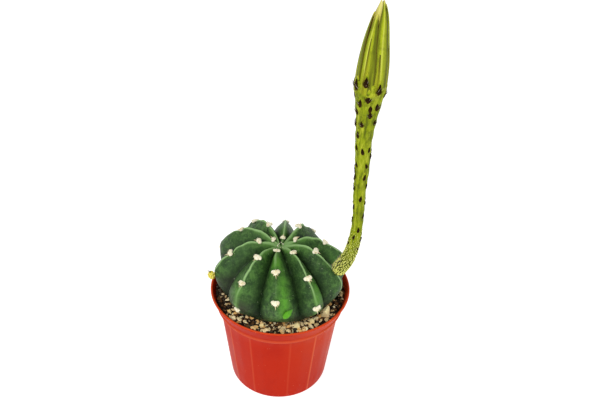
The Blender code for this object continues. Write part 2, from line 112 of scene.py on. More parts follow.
# How far up the bud each outer tepal reaches
TEPAL_ENDS = (0.93, 0.95, 0.80, 0.79, 0.985, 0.93)
# Small sepals on the bud: bearing, half width in degrees, how far up the bud the tip is
SEPALS = [(285, 13, 0.43), (236, 17, 0.57), (180, 15, 0.40), (335, 16, 0.47), (25, 14, 0.42),
          (75, 16, 0.55), (128, 15, 0.45)]
# Dark tufts on the swelling: bearing round the tube, height
TUFTS = [(245, 0.2322), (205, 0.2289), (295, 0.2286), (260, 0.2236), (225, 0.2198), (310, 0.2182),
         (280, 0.2134), (240, 0.2071), (205, 0.2141), (320, 0.2081), (220, 0.1997), (340, 0.2250),
         (185, 0.2065)]
# Small scales down the tube: bearing, how far along the tube
SCALES = [(215, 0.797), (310, 0.787), (265, 0.785), (345, 0.755), (300, 0.723), (215, 0.723), (185, 0.69),
          (285, 0.675), (175, 0.655), (325, 0.635), (185, 0.618), (270, 0.585), (350, 0.56), (200, 0.545),
          (315, 0.51), (180, 0.48), (280, 0.453), (240, 0.417), (335, 0.40), (190, 0.36), (310, 0.34)]

# Camera: where the eye stands, and how it is turned
EYE = Vector((0, -0.3701, 0.4006))
EYE_YAW = math.radians(1.628)
EYE_PITCH = math.radians(35.164)
EYE_ROLL = math.radians(2.286)
LENS_MM = 45.44
SENSOR_MM = 36


# Shared shapes

def curve_at(points, t):
    """The point at t, 0 to 1, on a smooth curve through the points, which are evenly spaced in t."""
    position = min(max(t, 0), 1) * (len(points) - 1)
    i = min(int(position), len(points) - 2)
    f = position - i
    before, a, b, after = (Vector(points[min(max(j, 0), len(points) - 1)]) for j in range(i - 1, i + 3))
    out = (b - before) / 2
    into = (after - a) / 2
    return (a * (2 * f**3 - 3 * f**2 + 1) + out * (f**3 - 2 * f**2 + f)
            + b * (3 * f**2 - 2 * f**3) + into * (f**3 - f**2))


def number_at(values, t):
    return curve_at([(value, 0) for value in values], t).x


def ease(f):
    f = min(max(f, 0), 1)
    return f * f * (3 - 2 * f)


def rim_place(x, y, z):
    """A point given in rim radii, with its height over the rim."""
    return Vector((x * RIM_RADIUS, y * RIM_RADIUS, POT_HEIGHT + z * RIM_RADIUS))


def body_place(local):
    """A point given in the body's own rim radii, with the body's lean and place in the pot."""
    return rim_place(*(BODY_TURN @ local)) + BODY_OFFSET


def rib_bearing(rib, radius):
    """The bearing of a rib's crest at this distance from the body's axis, in degrees that keep rising."""
    at_crown, at_widest = RIBS[rib % len(RIBS)][:2]
    return at_crown + (at_widest - at_crown) * ease(radius / WIDEST) + 360 * (rib // len(RIBS))


def crest_distance(rib, across, t):
    """0 on a crest and 1 in a furrow, for a point that lies across from one rib to the next."""
    furrow = 0.5 + (RIBS[rib % len(RIBS)][3] - 0.5) * ease(curve_at(CREST, t).x / WIDEST)
    return across / furrow if across < furrow else (1 - across) / (1 - furrow)


def body_point(rib, across, t):
    """A point of the skin: across goes 0 to 1 from this rib's crest to the next, t from crown to roots."""
    crest = curve_at(CREST, t)
    furrow = curve_at(FURROW, t)
    roundness = CROWN_SHARPNESS + (SKIRT_ROUNDNESS - CROWN_SHARPNESS) * ease(t * 1.6)
    share = 1 - crest_distance(rib, across, t)**roundness
    radius, height = furrow + (crest - furrow) * share
    here, beyond = RIBS[rib % len(RIBS)][2], RIBS[(rib + 1) % len(RIBS)][2]
    reach = 1 + (here + (beyond - here) * ease(across) - 1) * ease(crest.x / WIDEST)
    low, high = rib_bearing(rib, crest.x), rib_bearing(rib + 1, crest.x)
    bearing = math.radians(low + (high - low) * across)
    out = radius * reach
    return body_place(Vector((out * math.cos(bearing), out * math.sin(bearing), height)))


def crest_frame(rib, t):
    """Where a crest is at t, with the outward direction there and the direction down the crest."""
    step = 0.004
    here = body_point(rib, 0, t)
    down = (body_point(rib, 0, t + step) - body_point(rib, 0, t - step)).normalized()
    bearing = math.radians(rib_bearing(rib, WIDEST))
    outward = Vector((-math.sin(bearing), math.cos(bearing), 0)).cross(down).normalized()
    if outward.dot(here - rim_place(0, 0, 0.2)) < 0:
        outward = -outward
    return here, outward, down


def route_frame(route, t):
    """Place, direction and two square directions on a route, with no twist between them."""
    place = curve_at(route, t)
    along = (curve_at(route, t + 0.01) - curve_at(route, t - 0.01)).normalized()
    side = Vector((0, 1, 0)).cross(along).normalized()
    return place, along, side, along.cross(side)


def around(route, radii, t, angle, lift=0.0):
    """A point on the skin of a tube that follows the route, with the way out and the way along there."""
    place, along, side, front = route_frame(route, t)
    out = side * math.cos(angle) + front * math.sin(angle)
    return place + out * (number_at(radii, t) + lift), out, along


# Shared making

def finish(name, shape, look, replaced=(), sharp_degrees=60):
    """A finished piece from a bmesh, riding with the plant, with the imported nodes that it stands for
    hidden.
    """
    bmesh.ops.recalc_face_normals(shape, faces=shape.faces)
    mesh = bpy.data.meshes.new(name)
    shape.to_mesh(mesh)
    shape.free()
    mesh.shade_smooth()
    mesh.set_sharp_from_angle(angle=math.radians(sharp_degrees))
    mesh.materials.append(look)
    piece = bpy.data.objects.new(name, mesh)
    bpy.context.scene.collection.objects.link(piece)
    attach(piece, "root")
    if replaced:
        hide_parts(*replaced)
    return piece


def spin_outline(shape, outline, steps, merge):
    """Turns an outline of (radius, height) once round the upright axis."""
    line = [shape.verts.new((r, 0, z)) for r, z in outline]
    edges = [shape.edges.new(pair) for pair in zip(line, line[1:])]
    bmesh.ops.spin(shape, geom=line + edges, cent=(0, 0, 0), axis=(0, 0, 1), angle=2 * math.pi, steps=steps,
                   use_merge=True)
    bmesh.ops.remove_doubles(shape, verts=shape.verts, dist=merge)


def node_box(node):
    return tuple(Vector(corner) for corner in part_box(node))


def round_points(radius, height, size, first, step, count):
    """Points of a round in an outline: its middle, its size, and angles in degrees from level outward."""
    angles = (math.radians(first + step * k) for k in range(count))
    return [(radius + size * math.cos(a), height + size * math.sin(a)) for a in angles]


def blade(shape, root, tip, width, normal, bend=0.0, segments=3):
    """Adds one thin three-sided hair from root to tip, bowed along normal, to the shape."""
    line = tip - root
    side = line.cross(normal).normalized()
    if side.length < 0.5:
        side = line.orthogonal().normalized()
    front = side.cross(line).normalized()
    before = None
    for k in range(segments + 1):
        f = k / segments
        middle = root + line * f + normal * (bend * 4 * f * (1 - f))
        r = width / 2 * (1 - f * 0.85)
        ring = [shape.verts.new(middle + (side * math.cos(a) + front * math.sin(a)) * r)
                for a in (0, 2 * math.pi / 3, 4 * math.pi / 3)]
        if before:
            for i in range(3):
                shape.faces.new((before[i], before[(i + 1) % 3], ring[(i + 1) % 3], ring[i]))
        else:
            shape.faces.new(tuple(reversed(ring)))
        before = ring
    shape.faces.new(before)


def add_lump(shape, matrix, subdivisions=1, rough=0.0, rng=None):
    """Adds one rounded or broken lump, a unit ball under the matrix. Returns its vertices."""
    made = bmesh.ops.create_icosphere(shape, subdivisions=subdivisions, radius=1)["verts"]
    if rng:
        for point in made:
            point.co *= 1 + rng.uniform(-rough, rough)
    bmesh.ops.transform(shape, matrix=matrix, verts=made)
    return made


def turn_to(x_axis, y_axis, z_axis):
    return Matrix((x_axis, y_axis, z_axis)).transposed().to_4x4()


# Shared parts of the materials

def new_group(name, inputs, outputs):
    """An empty node group with its named sockets, and its input and output nodes."""
    group = bpy.data.node_groups.new(name, "ShaderNodeTree")
    for label, kind, value in inputs:
        socket = group.interface.new_socket(label, in_out="INPUT", socket_type=kind)
        if value is not None:
            socket.default_value = value
    for label, kind in outputs:
        group.interface.new_socket(label, in_out="OUTPUT", socket_type=kind)
    return group, group.nodes.new("NodeGroupInput").outputs, group.nodes.new("NodeGroupOutput").inputs


def add_node(tree, kind, inputs=None, **settings):
    """A node with its settings, and its inputs given as values or as sockets to link from."""
    made = tree.nodes.new(kind)
    for name, value in settings.items():
        setattr(made, name, value)
    for key, value in (inputs or {}).items():
        if isinstance(value, bpy.types.NodeSocket):
            tree.links.new(value, made.inputs[key])
        else:
            made.inputs[key].default_value = value
    return made


def use_group(tree, group, inputs):
    return add_node(tree, "ShaderNodeGroup", inputs, node_tree=group)


def noise_node(tree, vector, scale, detail=3.0, roughness=0.55, distortion=0.0):
    inputs = {"Vector": vector, "Scale": scale, "Detail": detail, "Roughness": roughness,
              "Distortion": distortion}
    return add_node(tree, "ShaderNodeTexNoise", inputs).outputs[0]


def remap(tree, value, low, high, to_low=0.0, to_high=1.0):
    inputs = {"Value": value, "From Min": low, "From Max": high, "To Min": to_low, "To Max": to_high}
    return add_node(tree, "ShaderNodeMapRange", inputs).outputs[0]


def mix(tree, share, a, b):
    """Two colours mixed by a share."""
    return add_node(tree, "ShaderNodeMix", {0: share, 6: a, 7: b}, data_type="RGBA").outputs[2]


def arith(tree, operation, a, b=0.0, clamp=False):
    return add_node(tree, "ShaderNodeMath", {0: a, 1: b}, operation=operation, use_clamp=clamp).outputs[0]


def times(tree, a, b):
    return arith(tree, "MULTIPLY", a, b)


def vector_of(tree, *parts):
    return add_node(tree, "ShaderNodeCombineXYZ", dict(enumerate(parts))).outputs[0]


def parts_of(tree, vector):
    return add_node(tree, "ShaderNodeSeparateXYZ", {0: vector}).outputs


def attribute(tree, name):
    return add_node(tree, "ShaderNodeAttribute", attribute_name=name).outputs["Fac"]


def build_mottle_group():
    """Two sizes of soft patches on a base colour, as in living skin and in pressed plastic."""
    colour, number, vector = "NodeSocketColor", "NodeSocketFloat", "NodeSocketVector"
    group, given, result = new_group(
        "soft patches",
        [("Position", vector, None), ("Base", colour, (0.5, 0.5, 0.5, 1)),
         ("Dark", colour, (0.2, 0.2, 0.2, 1)), ("Light", colour, (0.8, 0.8, 0.8, 1)),
         ("Patch Size", number, 60.0), ("Fine Size", number, 900.0),
         ("Dark Share", number, 0.5), ("Light Share", number, 0.3)],
        [("Color", colour), ("Patches", number), ("Fine", number)])
    big = noise_node(group, given["Position"], given["Patch Size"], 4.0, 0.6, 0.4)
    fine = noise_node(group, given["Position"], given["Fine Size"], 3.0, 0.65)
    dark = times(group, remap(group, big, 0.5, 0.32), given["Dark Share"])
    light = times(group, remap(group, fine, 0.54, 0.72), given["Light Share"])
    shaded = mix(group, dark, given["Base"], given["Dark"])
    group.links.new(mix(group, light, shaded, given["Light"]), result["Color"])
    group.links.new(big, result["Patches"])
    group.links.new(fine, result["Fine"])
    return group


def build_speck_group():
    """Small round specks scattered over a surface, as a mask."""
    number = "NodeSocketFloat"
    group, given, result = new_group(
        "small specks",
        [("Position", "NodeSocketVector", None), ("Count", number, 900.0), ("Size", number, 0.2),
         ("Share", number, 0.3)],
        [("Mask", number)])
    cells = add_node(group, "ShaderNodeTexVoronoi", {"Vector": given["Position"], "Scale": given["Count"],
                                                     "Randomness": 1.0}).outputs
    near = arith(group, "LESS_THAN", cells["Distance"], given["Size"])
    tone = add_node(group, "ShaderNodeSeparateColor", {0: cells["Color"]}).outputs[0]
    chosen = arith(group, "LESS_THAN", tone, given["Share"])
    group.links.new(times(group, near, chosen), result["Mask"])
    return group


MOTTLE = build_mottle_group()
SPECKS = build_speck_group()


def mottle(tree, position, colours, sizes, shares):
    """Soft patches: base, dark and light colours, broad and fine sizes, and shares of dark and light."""
    names = ("Position", "Base", "Dark", "Light", "Patch Size", "Fine Size", "Dark Share", "Light Share")
    return use_group(tree, MOTTLE, dict(zip(names, (position, *colours, *sizes, *shares)))).outputs


def specks(tree, position, count, size, share):
    inputs = {"Position": position, "Count": count, "Size": size, "Share": share}
    return use_group(tree, SPECKS, inputs).outputs["Mask"]


def new_material(name, roughness, specular, subsurface=0.0, subsurface_radius=(0.001, 0.001, 0.0005),
                 sheen=0.0):
    """A material with one Principled shader. Returns it with its tree, the shader and the object position."""
    made = bpy.data.materials.new(name)
    made.use_nodes = True
    tree = made.node_tree
    shader = tree.nodes["Principled BSDF"]
    shader.inputs["Roughness"].default_value = roughness
    shader.inputs["Specular IOR Level"].default_value = specular
    shader.inputs["Sheen Weight"].default_value = sheen
    shader.inputs["Sheen Roughness"].default_value = 0.5
    if subsurface:
        shader.inputs["Subsurface Weight"].default_value = subsurface
        shader.inputs["Subsurface Radius"].default_value = subsurface_radius
        shader.inputs["Subsurface Scale"].default_value = 1.0
    position = tree.nodes.new("ShaderNodeTexCoord").outputs["Object"]
    return made, tree, shader, position


def add_bump(tree, shader, height, strength, distance):
    made = add_node(tree, "ShaderNodeBump", {"Height": height, "Strength": strength, "Distance": distance})
    tree.links.new(made.outputs[0], shader.inputs["Normal"])


def rgb(red, green, blue):
    """A colour given as it looks, 0 to 255, as the linear values that nodes take."""
    def linear(value):
        value /= 255
        return value / 12.92 if value <= 0.04045 else ((value + 0.055) / 1.055) ** 2.4
    return linear(red), linear(green), linear(blue), 1.0


# Materials

def pot_plastic():
    """Red-orange plastic with painted light: lighter and more orange to one side and higher up, with painted
    highlights on the collar's bead, along the moulding lines and at the rim's top edge.
    """
    made, tree, shader, position = new_material("moulded red plastic", 0.5, 0.04)
    place = parts_of(tree, position)
    height = place["Z"]
    patches = mottle(tree, position, (rgb(178, 35, 7), rgb(164, 25, 5), rgb(194, 52, 22)), (45.0, 420.0),
                     (0.5, 0.16))
    # Painted light: lighter and more orange towards +X and towards the top.
    warm = times(tree, remap(tree, place["X"], 0.0, 0.04), remap(tree, height, 0.01, 0.06))
    wall = mix(tree, warm, patches["Color"], rgb(200, 64, 26))
    # Painted highlight on the rounded bead under the collar.
    painted_bead_highlight = arith(tree, "SUBTRACT", remap(tree, height, STEP_HEIGHT, STEP_HEIGHT + 0.0008),
                 remap(tree, height, STEP_HEIGHT + 0.0020, STEP_HEIGHT + 0.0032), True)
    wall = mix(tree, times(tree, painted_bead_highlight, 0.5), wall, rgb(210, 96, 64))
    # Painted highlight along the raised moulding lines.
    wall = mix(tree, times(tree, attribute(tree, "ridge"), 0.65), wall, rgb(232, 124, 80))
    # Painted highlight along the rim's top edge.
    edge = remap(tree, height, POT_HEIGHT - 0.0008, POT_HEIGHT - 0.0001)
    rimmed = mix(tree, edge, wall, rgb(212, 74, 34))
    dust = times(tree, specks(tree, position, 700.0, 0.16, 0.05), 0.3)
    tree.links.new(mix(tree, dust, rimmed, rgb(236, 180, 140)), shader.inputs["Base Color"])
    tree.links.new(remap(tree, patches["Patches"], 0.3, 0.7, 0.36, 0.50), shader.inputs["Roughness"])
    add_bump(tree, shader, patches["Fine"], 0.12, 0.0002)
    return made


def cactus_skin():
    """Dark waxy green, with a thin paler line along each rib's edge, a painted highlight in a broad band
    along the crests, brighter green patches, brown low on the left, and painted shade in the furrows and at
    the foot.
    """
    made, tree, shader, position = new_material("waxy green skin", 0.5, 0.2, 0.06, (0.0008, 0.0014, 0.0004))
    off_edge, line, painted_crest_highlight, brighter_green, brown, painted_shade = (attribute(tree, name) for name in SKIN_MARKS)
    wander = noise_node(tree, position, 60.0, 3.0, 0.6)
    blotch = noise_node(tree, position, 230.0, 3.0, 0.6, 0.5)
    grain = noise_node(tree, position, 430.0, 5.0, 0.8, 0.8)
    patches = mottle(tree, position, (rgb(46, 78, 34), rgb(22, 46, 22), rgb(112, 146, 82)), (170.0, 1050.0),
                     (1.0, 0.5))
    skin = patches["Color"]
    for share, colour in (
            (remap(tree, blotch, 0.50, 0.66, 0.0, 0.7), rgb(84, 124, 58)),
            (remap(tree, blotch, 0.44, 0.30, 0.0, 0.75), rgb(20, 42, 22)),
            (remap(tree, grain, 0.53, 0.70, 0.0, 0.65), rgb(96, 130, 70)),
            (remap(tree, grain, 0.47, 0.30, 0.0, 0.8), rgb(16, 36, 18)),
            (remap(tree, wander, 0.42, 0.68, 0.0, 0.4), rgb(66, 104, 48)),
            (times(tree, brighter_green, remap(tree, blotch, 0.3, 0.62, 0.45, 1.0)), rgb(92, 158, 44)),
            (times(tree, brown, remap(tree, wander, 0.35, 0.6, 0.5, 0.95)), rgb(44, 34, 30))):
        skin = mix(tree, share, skin, colour)
    # Painted highlight: a broad lighter band along the crests, near the crown and on the lower crests beside
    # the front rib.
    soft = times(tree, remap(tree, off_edge, 2.6, 0.3), painted_crest_highlight)
    skin = mix(tree, times(tree, soft, remap(tree, blotch, 0.3, 0.6, 0.6, 1.0)), skin, rgb(104, 150, 70))
    uneven = arith(tree, "ADD", off_edge, remap(tree, wander, 0.3, 0.7, -0.2, 0.3))
    thin = times(tree, remap(tree, uneven, 0.95, 0.35), line)
    skin = mix(tree, times(tree, thin, 0.9), skin, rgb(150, 188, 122))
    # Painted shade, darkest in the furrows and at the foot.
    skin = mix(tree, times(tree, painted_shade, 0.86), skin, rgb(16, 28, 17))
    dots = times(tree, specks(tree, position, 520.0, 0.13, 0.10), 0.6)
    tree.links.new(mix(tree, dots, skin, rgb(190, 205, 165)), shader.inputs["Base Color"])
    tree.links.new(remap(tree, patches["Patches"], 0.3, 0.7, 0.42, 0.60), shader.inputs["Roughness"])
    add_bump(tree, shader, grain, 0.5, 0.0006)
    return made


def patched_look(name, colours, sizes, shares, roughness, specular, bump=None, sheen=0.0):
    """A finish of soft darker and lighter patches, with a fine bump where it is given."""
    made, tree, shader, position = new_material(name, roughness, specular, sheen=sheen)
    patches = mottle(tree, position, colours, sizes, shares)
    tree.links.new(patches["Color"], shader.inputs["Base Color"])
    if bump:
        add_bump(tree, shader, patches["Fine"], *bump)
    return made


def wool():
    return patched_look("cream wool", (rgb(246, 240, 212), rgb(214, 196, 144), rgb(254, 252, 244)),
                        (480.0, 2000.0), (0.8, 0.6), 0.95, 0.05, (0.6, 0.0003), 0.15)


def spine_horn():
    return patched_look("pale horn", (rgb(218, 202, 158), rgb(176, 146, 98), rgb(252, 246, 224)),
                        (420.0, 2000.0), (0.5, 0.4), 0.6, 0.15)


def young_yellow():
    return patched_look("young yellow skin", (rgb(236, 222, 84), rgb(190, 168, 36), rgb(224, 212, 96)),
                        (600.0, 1800.0), (0.7, 0.5), 0.6, 0.15, (0.4, 0.0003))


def peat():
    return patched_look("dark peat and grit", (rgb(38, 25, 16), rgb(12, 8, 6), rgb(110, 80, 48)),
                        (260.0, 1100.0), (0.9, 0.5), 0.95, 0.15, (0.9, 0.0006))


def tube_skin():
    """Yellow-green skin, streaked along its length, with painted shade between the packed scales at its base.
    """
    made, tree, shader, position = new_material("yellow-green tube skin", 0.65, 0.12, 0.05, FLESH_RADIUS)
    place = parts_of(tree, add_node(tree, "ShaderNodeUVMap", uv_map="tube").outputs[0])
    turn = times(tree, place["X"], 2 * math.pi)
    along = place["Y"]
    patches = mottle(tree, position, (rgb(128, 142, 4), rgb(84, 92, 3), rgb(178, 186, 44)), (190.0, 1100.0),
                     (0.8, 0.5))
    streak_place = vector_of(tree, times(tree, arith(tree, "COSINE", turn), 2.6),
                             times(tree, arith(tree, "SINE", turn), 2.6), times(tree, along, 16.0))
    streak = noise_node(tree, streak_place, 1.0, 4.0, 0.65)
    skin = mix(tree, remap(tree, streak, 0.50, 0.68, 0.0, 0.65), patches["Color"], rgb(186, 190, 56))
    skin = mix(tree, remap(tree, streak, 0.48, 0.34, 0.0, 0.8), skin, rgb(72, 82, 5))
    # Painted shade between the packed scales at the tube's lower end.
    base = times(tree, remap(tree, along, 0.33, 0.18), 0.8)
    tree.links.new(mix(tree, base, skin, rgb(66, 74, 20)), shader.inputs["Base Color"])
    add_bump(tree, shader, streak, 0.6, 0.0005)
    return made


def scale_look(name, root_colour, tip_colour, dark_colour, turn_low=0.1, turn_high=0.45):
    """A scale's skin, one colour where it grows from the tube and another at its tip."""
    made, tree, shader, position = new_material(name, 0.8, 0.03)
    patches = mottle(tree, position, (tip_colour, dark_colour, root_colour), (400.0, 2200.0), (0.6, 0.25))
    up_scale = remap(tree, attribute(tree, "tip"), turn_low, turn_high)
    colour = mix(tree, up_scale, root_colour, patches["Color"])
    tree.links.new(colour, shader.inputs["Base Color"])
    add_bump(tree, shader, patches["Fine"], 0.3, 0.0002)
    return made


def hair_look(name, dark, light, roughness, specular, sheen=0.0):
    made, tree, shader, position = new_material(name, roughness, specular, sheen=sheen)
    tree.links.new(mix(tree, noise_node(tree, position, 400.0), dark, light), shader.inputs["Base Color"])
    return made


def tepal_skin(name, middle, ridge_colour, groove, border_colour, tip_colour, tip_from, tip_taper=0.0):
    """Petal skin: a middle ridge and sides in their own colours, fine veins, a coloured border and tip. On
    the tepals and petals the lighter ridge is a painted highlight and the darker sides are painted shade in
    the grooves.
    """
    made, tree, shader, position = new_material(name, 0.55, 0.14, 0.06, FLESH_RADIUS)
    place = parts_of(tree, add_node(tree, "ShaderNodeUVMap", uv_map="petal").outputs[0])
    across, along = place["X"], place["Y"]
    off_middle = arith(tree, "ABSOLUTE", arith(tree, "SUBTRACT", across, 0.5))
    vein_place = vector_of(tree, times(tree, across, 11.0), times(tree, along, 2.0))
    vein_place = add_node(tree, "ShaderNodeVectorMath", {0: vein_place, 1: position}).outputs[0]
    veins = noise_node(tree, vein_place, 1.0, 3.0, 0.6)
    patches = mottle(tree, position, (middle, groove, tip_colour), (190.0, 1500.0), (0.5, 0.12))
    side = arith(tree, "ADD", remap(tree, off_middle, 0.03, 0.34), remap(tree, veins, 0.3, 0.7, -0.4, 0.4),
                 True)
    # Towards each side: on the tepals and petals painted shade in the grooves, on the sepals a lighter
    # colour.
    skin = mix(tree, times(tree, side, 0.9), patches["Color"], groove)
    border = times(tree, remap(tree, off_middle, 0.43, 0.475), remap(tree, along, 0.35, 0.85, 0.35, 1.0))
    skin = mix(tree, border, skin, border_colour)
    # Along the middle: on the tepals and petals a painted highlight, on the sepals a darker line.
    skin = mix(tree, remap(tree, off_middle, 0.07, 0.0, 0.0, 0.6), skin, ridge_colour)
    tipped = remap(tree, arith(tree, "ADD", along, times(tree, off_middle, -tip_taper)), tip_from, 1.0)
    tree.links.new(mix(tree, tipped, skin, tip_colour), shader.inputs["Base Color"])
    add_bump(tree, shader, veins, 0.6, 0.0004)
    return made


def fresh_green():
    made, tree, shader, position = new_material("fresh green skin", 0.5, 0.2, 0.08)
    patches = mottle(tree, position, (rgb(84, 156, 24), rgb(40, 104, 14), rgb(150, 206, 70)), (420.0, 1600.0),
                     (0.6, 0.4))
    colour = mix(tree, remap(tree, attribute(tree, "tip"), 0.5, 1.0), patches["Color"], rgb(70, 130, 36))
    tree.links.new(colour, shader.inputs["Base Color"])
    return made


def grain_stone(name, pale, dark, warm):
    """Broken stone whose tone changes from grain to grain."""
    made, tree, shader, position = new_material(name, 0.9, 0.1)
    tone = attribute(tree, "tone")
    patches = mottle(tree, position, (pale, dark, rgb(254, 248, 226)), (320.0, 1600.0), (0.6, 0.3))
    warmed = mix(tree, remap(tree, tone, 0.50, 0.80), patches["Color"], warm)
    shaded = mix(tree, remap(tree, tone, 0.30, 0.0, 0.0, 0.8), warmed, dark)
    tree.links.new(shaded, shader.inputs["Base Color"])
    add_bump(tree, shader, patches["Fine"], 0.6, 0.0004)
    return made


# Pot

def inner_wall_radius(z):
    """The pot's inner radius at this height, under the collar and inside it."""
    if z < STEP_HEIGHT + POT_WALL:
        return BASE_RADIUS + (WALL_TOP_RADIUS - BASE_RADIUS) * z / STEP_HEIGHT - POT_WALL
    return COLLAR_RADIUS + (RIM_RADIUS - COLLAR_RADIUS) * (z - STEP_HEIGHT) / COLLAR_HEIGHT - POT_WALL * 1.7


def pot_profile():
    """The outline, (radius, height), from the underside's middle out, up, over the rim and down inside."""
    step, foot, lip = STEP_HEIGHT, FOOT_ROUND, RIM_ROUND
    field = 0.0055
    floor = POT_WALL * 1.2
    bead_round = 0.0013
    outside = [(DRAIN_CIRCLE - field, 0), (DRAIN_CIRCLE + field, 0),
               *round_points(BASE_RADIUS - foot, foot, foot, -90, 15, 7)]
    outside += [(BASE_RADIUS + (WALL_TOP_RADIUS - BASE_RADIUS) * k / 8, foot + (step - foot - 0.0012) * k / 8)
                for k in range(1, 9)]
    outside += [(WALL_TOP_RADIUS + 0.0004, step - 0.0003), (WALL_TOP_RADIUS + 0.0009, step),
                *round_points(COLLAR_RADIUS - 0.0010, step + bead_round, bead_round, -90, 18, 9),
                (COLLAR_RADIUS + 0.0003, step + 0.0034), (RIM_RADIUS - lip * 1.4, POT_HEIGHT - lip * 2.6),
                *round_points(RIM_RADIUS - lip, POT_HEIGHT - lip, lip, -40, 20, 11)]
    inside = [(inner_wall_radius(POT_HEIGHT - lip * 2), POT_HEIGHT - lip * 2),
              (inner_wall_radius(step + POT_WALL * 1.8), step + POT_WALL * 1.8),
              (WALL_TOP_RADIUS - POT_WALL, step + floor), (WALL_TOP_RADIUS - POT_WALL * 1.4, step - 0.0006),
              (BASE_RADIUS - POT_WALL, foot + 0.0004), (BASE_RADIUS - foot, floor),
              (DRAIN_CIRCLE + field, floor), (DRAIN_CIRCLE - field, floor)]
    return [(0, 0), *outside, *inside, (0, floor)]


def make_pot(look):
    """The pot, turned from its outline, with upright moulding lines and drain holes through its floor."""
    shape = bmesh.new()
    ridge = shape.verts.layers.float.new("ridge")
    spin_outline(shape, pot_profile(), WALL_LINES * LINE_STEPS, 1e-5)
    wall_height = STEP_HEIGHT - FOOT_ROUND - 0.0012
    for point in shape.verts:
        radius = math.hypot(point.co.x, point.co.y)
        wall = BASE_RADIUS + (WALL_TOP_RADIUS - BASE_RADIUS) * (point.co.z - FOOT_ROUND) / wall_height
        if FOOT_ROUND - 0.0004 < point.co.z < STEP_HEIGHT - 0.0006 and radius > wall - 0.0004:
            bearing = math.atan2(point.co.y, point.co.x) - math.radians(FIRST_LINE)
            turn = bearing / (2 * math.pi) * WALL_LINES
            strength = LINE_STRENGTHS[round(turn) % WALL_LINES]
            point[ridge] = max(0, 1 - abs(turn - round(turn)) * LINE_STEPS) * strength
            rise = LINE_RISE * point[ridge] + 0.00006 * math.cos(turn * 2 * math.pi)
            point.co.x *= 1 + rise / radius
            point.co.y *= 1 + rise / radius
    pot = finish("pot_shell", shape, look, ["pot"], 50)
    for k in range(DRAIN_HOLES):
        drill = bmesh.new()
        bearing = 2 * math.pi * k / DRAIN_HOLES
        place = Matrix.Translation((DRAIN_CIRCLE * math.cos(bearing), DRAIN_CIRCLE * math.sin(bearing), 0))
        bmesh.ops.create_cone(drill, cap_ends=True, segments=32, radius1=DRAIN_RADIUS, radius2=DRAIN_RADIUS,
                              depth=0.006, matrix=place)
        cut_with(pot, drill)


def cut_with(piece, drill):
    """Cuts a closed bmesh out of a piece and keeps the result as the piece's own mesh."""
    mesh = bpy.data.meshes.new("drill")
    drill.to_mesh(mesh)
    drill.free()
    cutter = bpy.data.objects.new("drill", mesh)
    bpy.context.scene.collection.objects.link(cutter)
    cut = piece.modifiers.new("cut", "BOOLEAN")
    cut.operation = "DIFFERENCE"
    cut.solver = "MANIFOLD"
    cut.object = cutter
    graph = bpy.context.evaluated_depsgraph_get()
    result = bpy.data.meshes.new_from_object(piece.evaluated_get(graph))
    piece.modifiers.remove(cut)
    piece.data = result
    bpy.data.objects.remove(cutter, do_unlink=True)


# Soil

def soil_height(x, y):
    """The soil's rough surface: broad unevenness, with lumps on it."""
    wave = 0.0004 * math.sin(x * 310 + 1.3) * math.cos(y * 270 + 0.4)
    lumps = noise.fractal(Vector((x, y, 0.3)) * 420, 0.7, 2.2, 4)
    return SOIL_LEVEL + wave + 0.0005 * lumps


def make_soil_bed(look):
    """The soil, turned from its outline inside the pot, with its top roughened."""
    gap = 0.0006
    rings = 46
    under, over, lowest = STEP_HEIGHT - 0.0014, STEP_HEIGHT + 0.0032, 0.0036
    bottom = POT_WALL * 1.2 + gap
    top = inner_wall_radius(SOIL_LEVEL) - gap
    outline = [(0, bottom), (BASE_RADIUS - 0.0036, bottom), (inner_wall_radius(lowest) - gap * 2, lowest),
               (inner_wall_radius(under) - gap * 2, under),
               (inner_wall_radius(under) - gap * 2, STEP_HEIGHT + 0.002),
               (inner_wall_radius(over) - gap * 2, over), (top - gap, SOIL_LEVEL - 0.0012)]
    outline += [(top * (1 - k / rings), SOIL_LEVEL) for k in range(rings + 1)]
    shape = bmesh.new()
    spin_outline(shape, outline, 220, 1e-6)
    for point in shape.verts:
        if point.co.z > SOIL_LEVEL - 0.0001:
            point.co.z = soil_height(point.co.x, point.co.y)
    finish("soil_bed", shape, look, ["soil"])


def scatter_grains(name, look, count, sizes, seed, front_share, sunk):
    """Hundreds of small broken grains on the soil, joined in one piece, each with its own tone."""
    rng = random.Random(seed)
    shape = bmesh.new()
    tone = shape.verts.layers.float.new("tone")
    outer = inner_wall_radius(SOIL_LEVEL) - 0.0009
    inner = RIM_RADIUS * 0.60
    front = -1.45
    placed = 0
    while placed < count:
        bearing = rng.uniform(-math.pi, math.pi)
        from_front = abs((bearing - front + math.pi) % (2 * math.pi) - math.pi)
        if rng.random() > 1 - front_share * (1 - gauss(from_front, 0, 1.1)):
            continue
        placed += 1
        distance = math.sqrt(rng.uniform(inner**2, outer**2))
        size = sizes[0] + (sizes[1] - sizes[0]) * rng.random() ** 2.2
        distance = min(distance, outer - size * 0.5)
        x, y = distance * math.cos(bearing), distance * math.sin(bearing)
        turn = Matrix.Rotation(rng.uniform(0, 6.3), 4, "Z") @ Matrix.Rotation(rng.uniform(-0.7, 0.7), 4, "X")
        stretch = Matrix.Diagonal((size, size * rng.uniform(0.55, 0.95), size * rng.uniform(0.45, 0.85), 1))
        lift = size * (0.5 - sunk) + rng.uniform(0, 0.0005)
        place = Matrix.Translation((x, y, soil_height(x, y) + lift))
        points = add_lump(shape, place @ turn @ stretch, 1, 0.42, rng)
        value = rng.random()
        for point in points:
            point[tone] = value
    finish(name, shape, look, sharp_degrees=25)


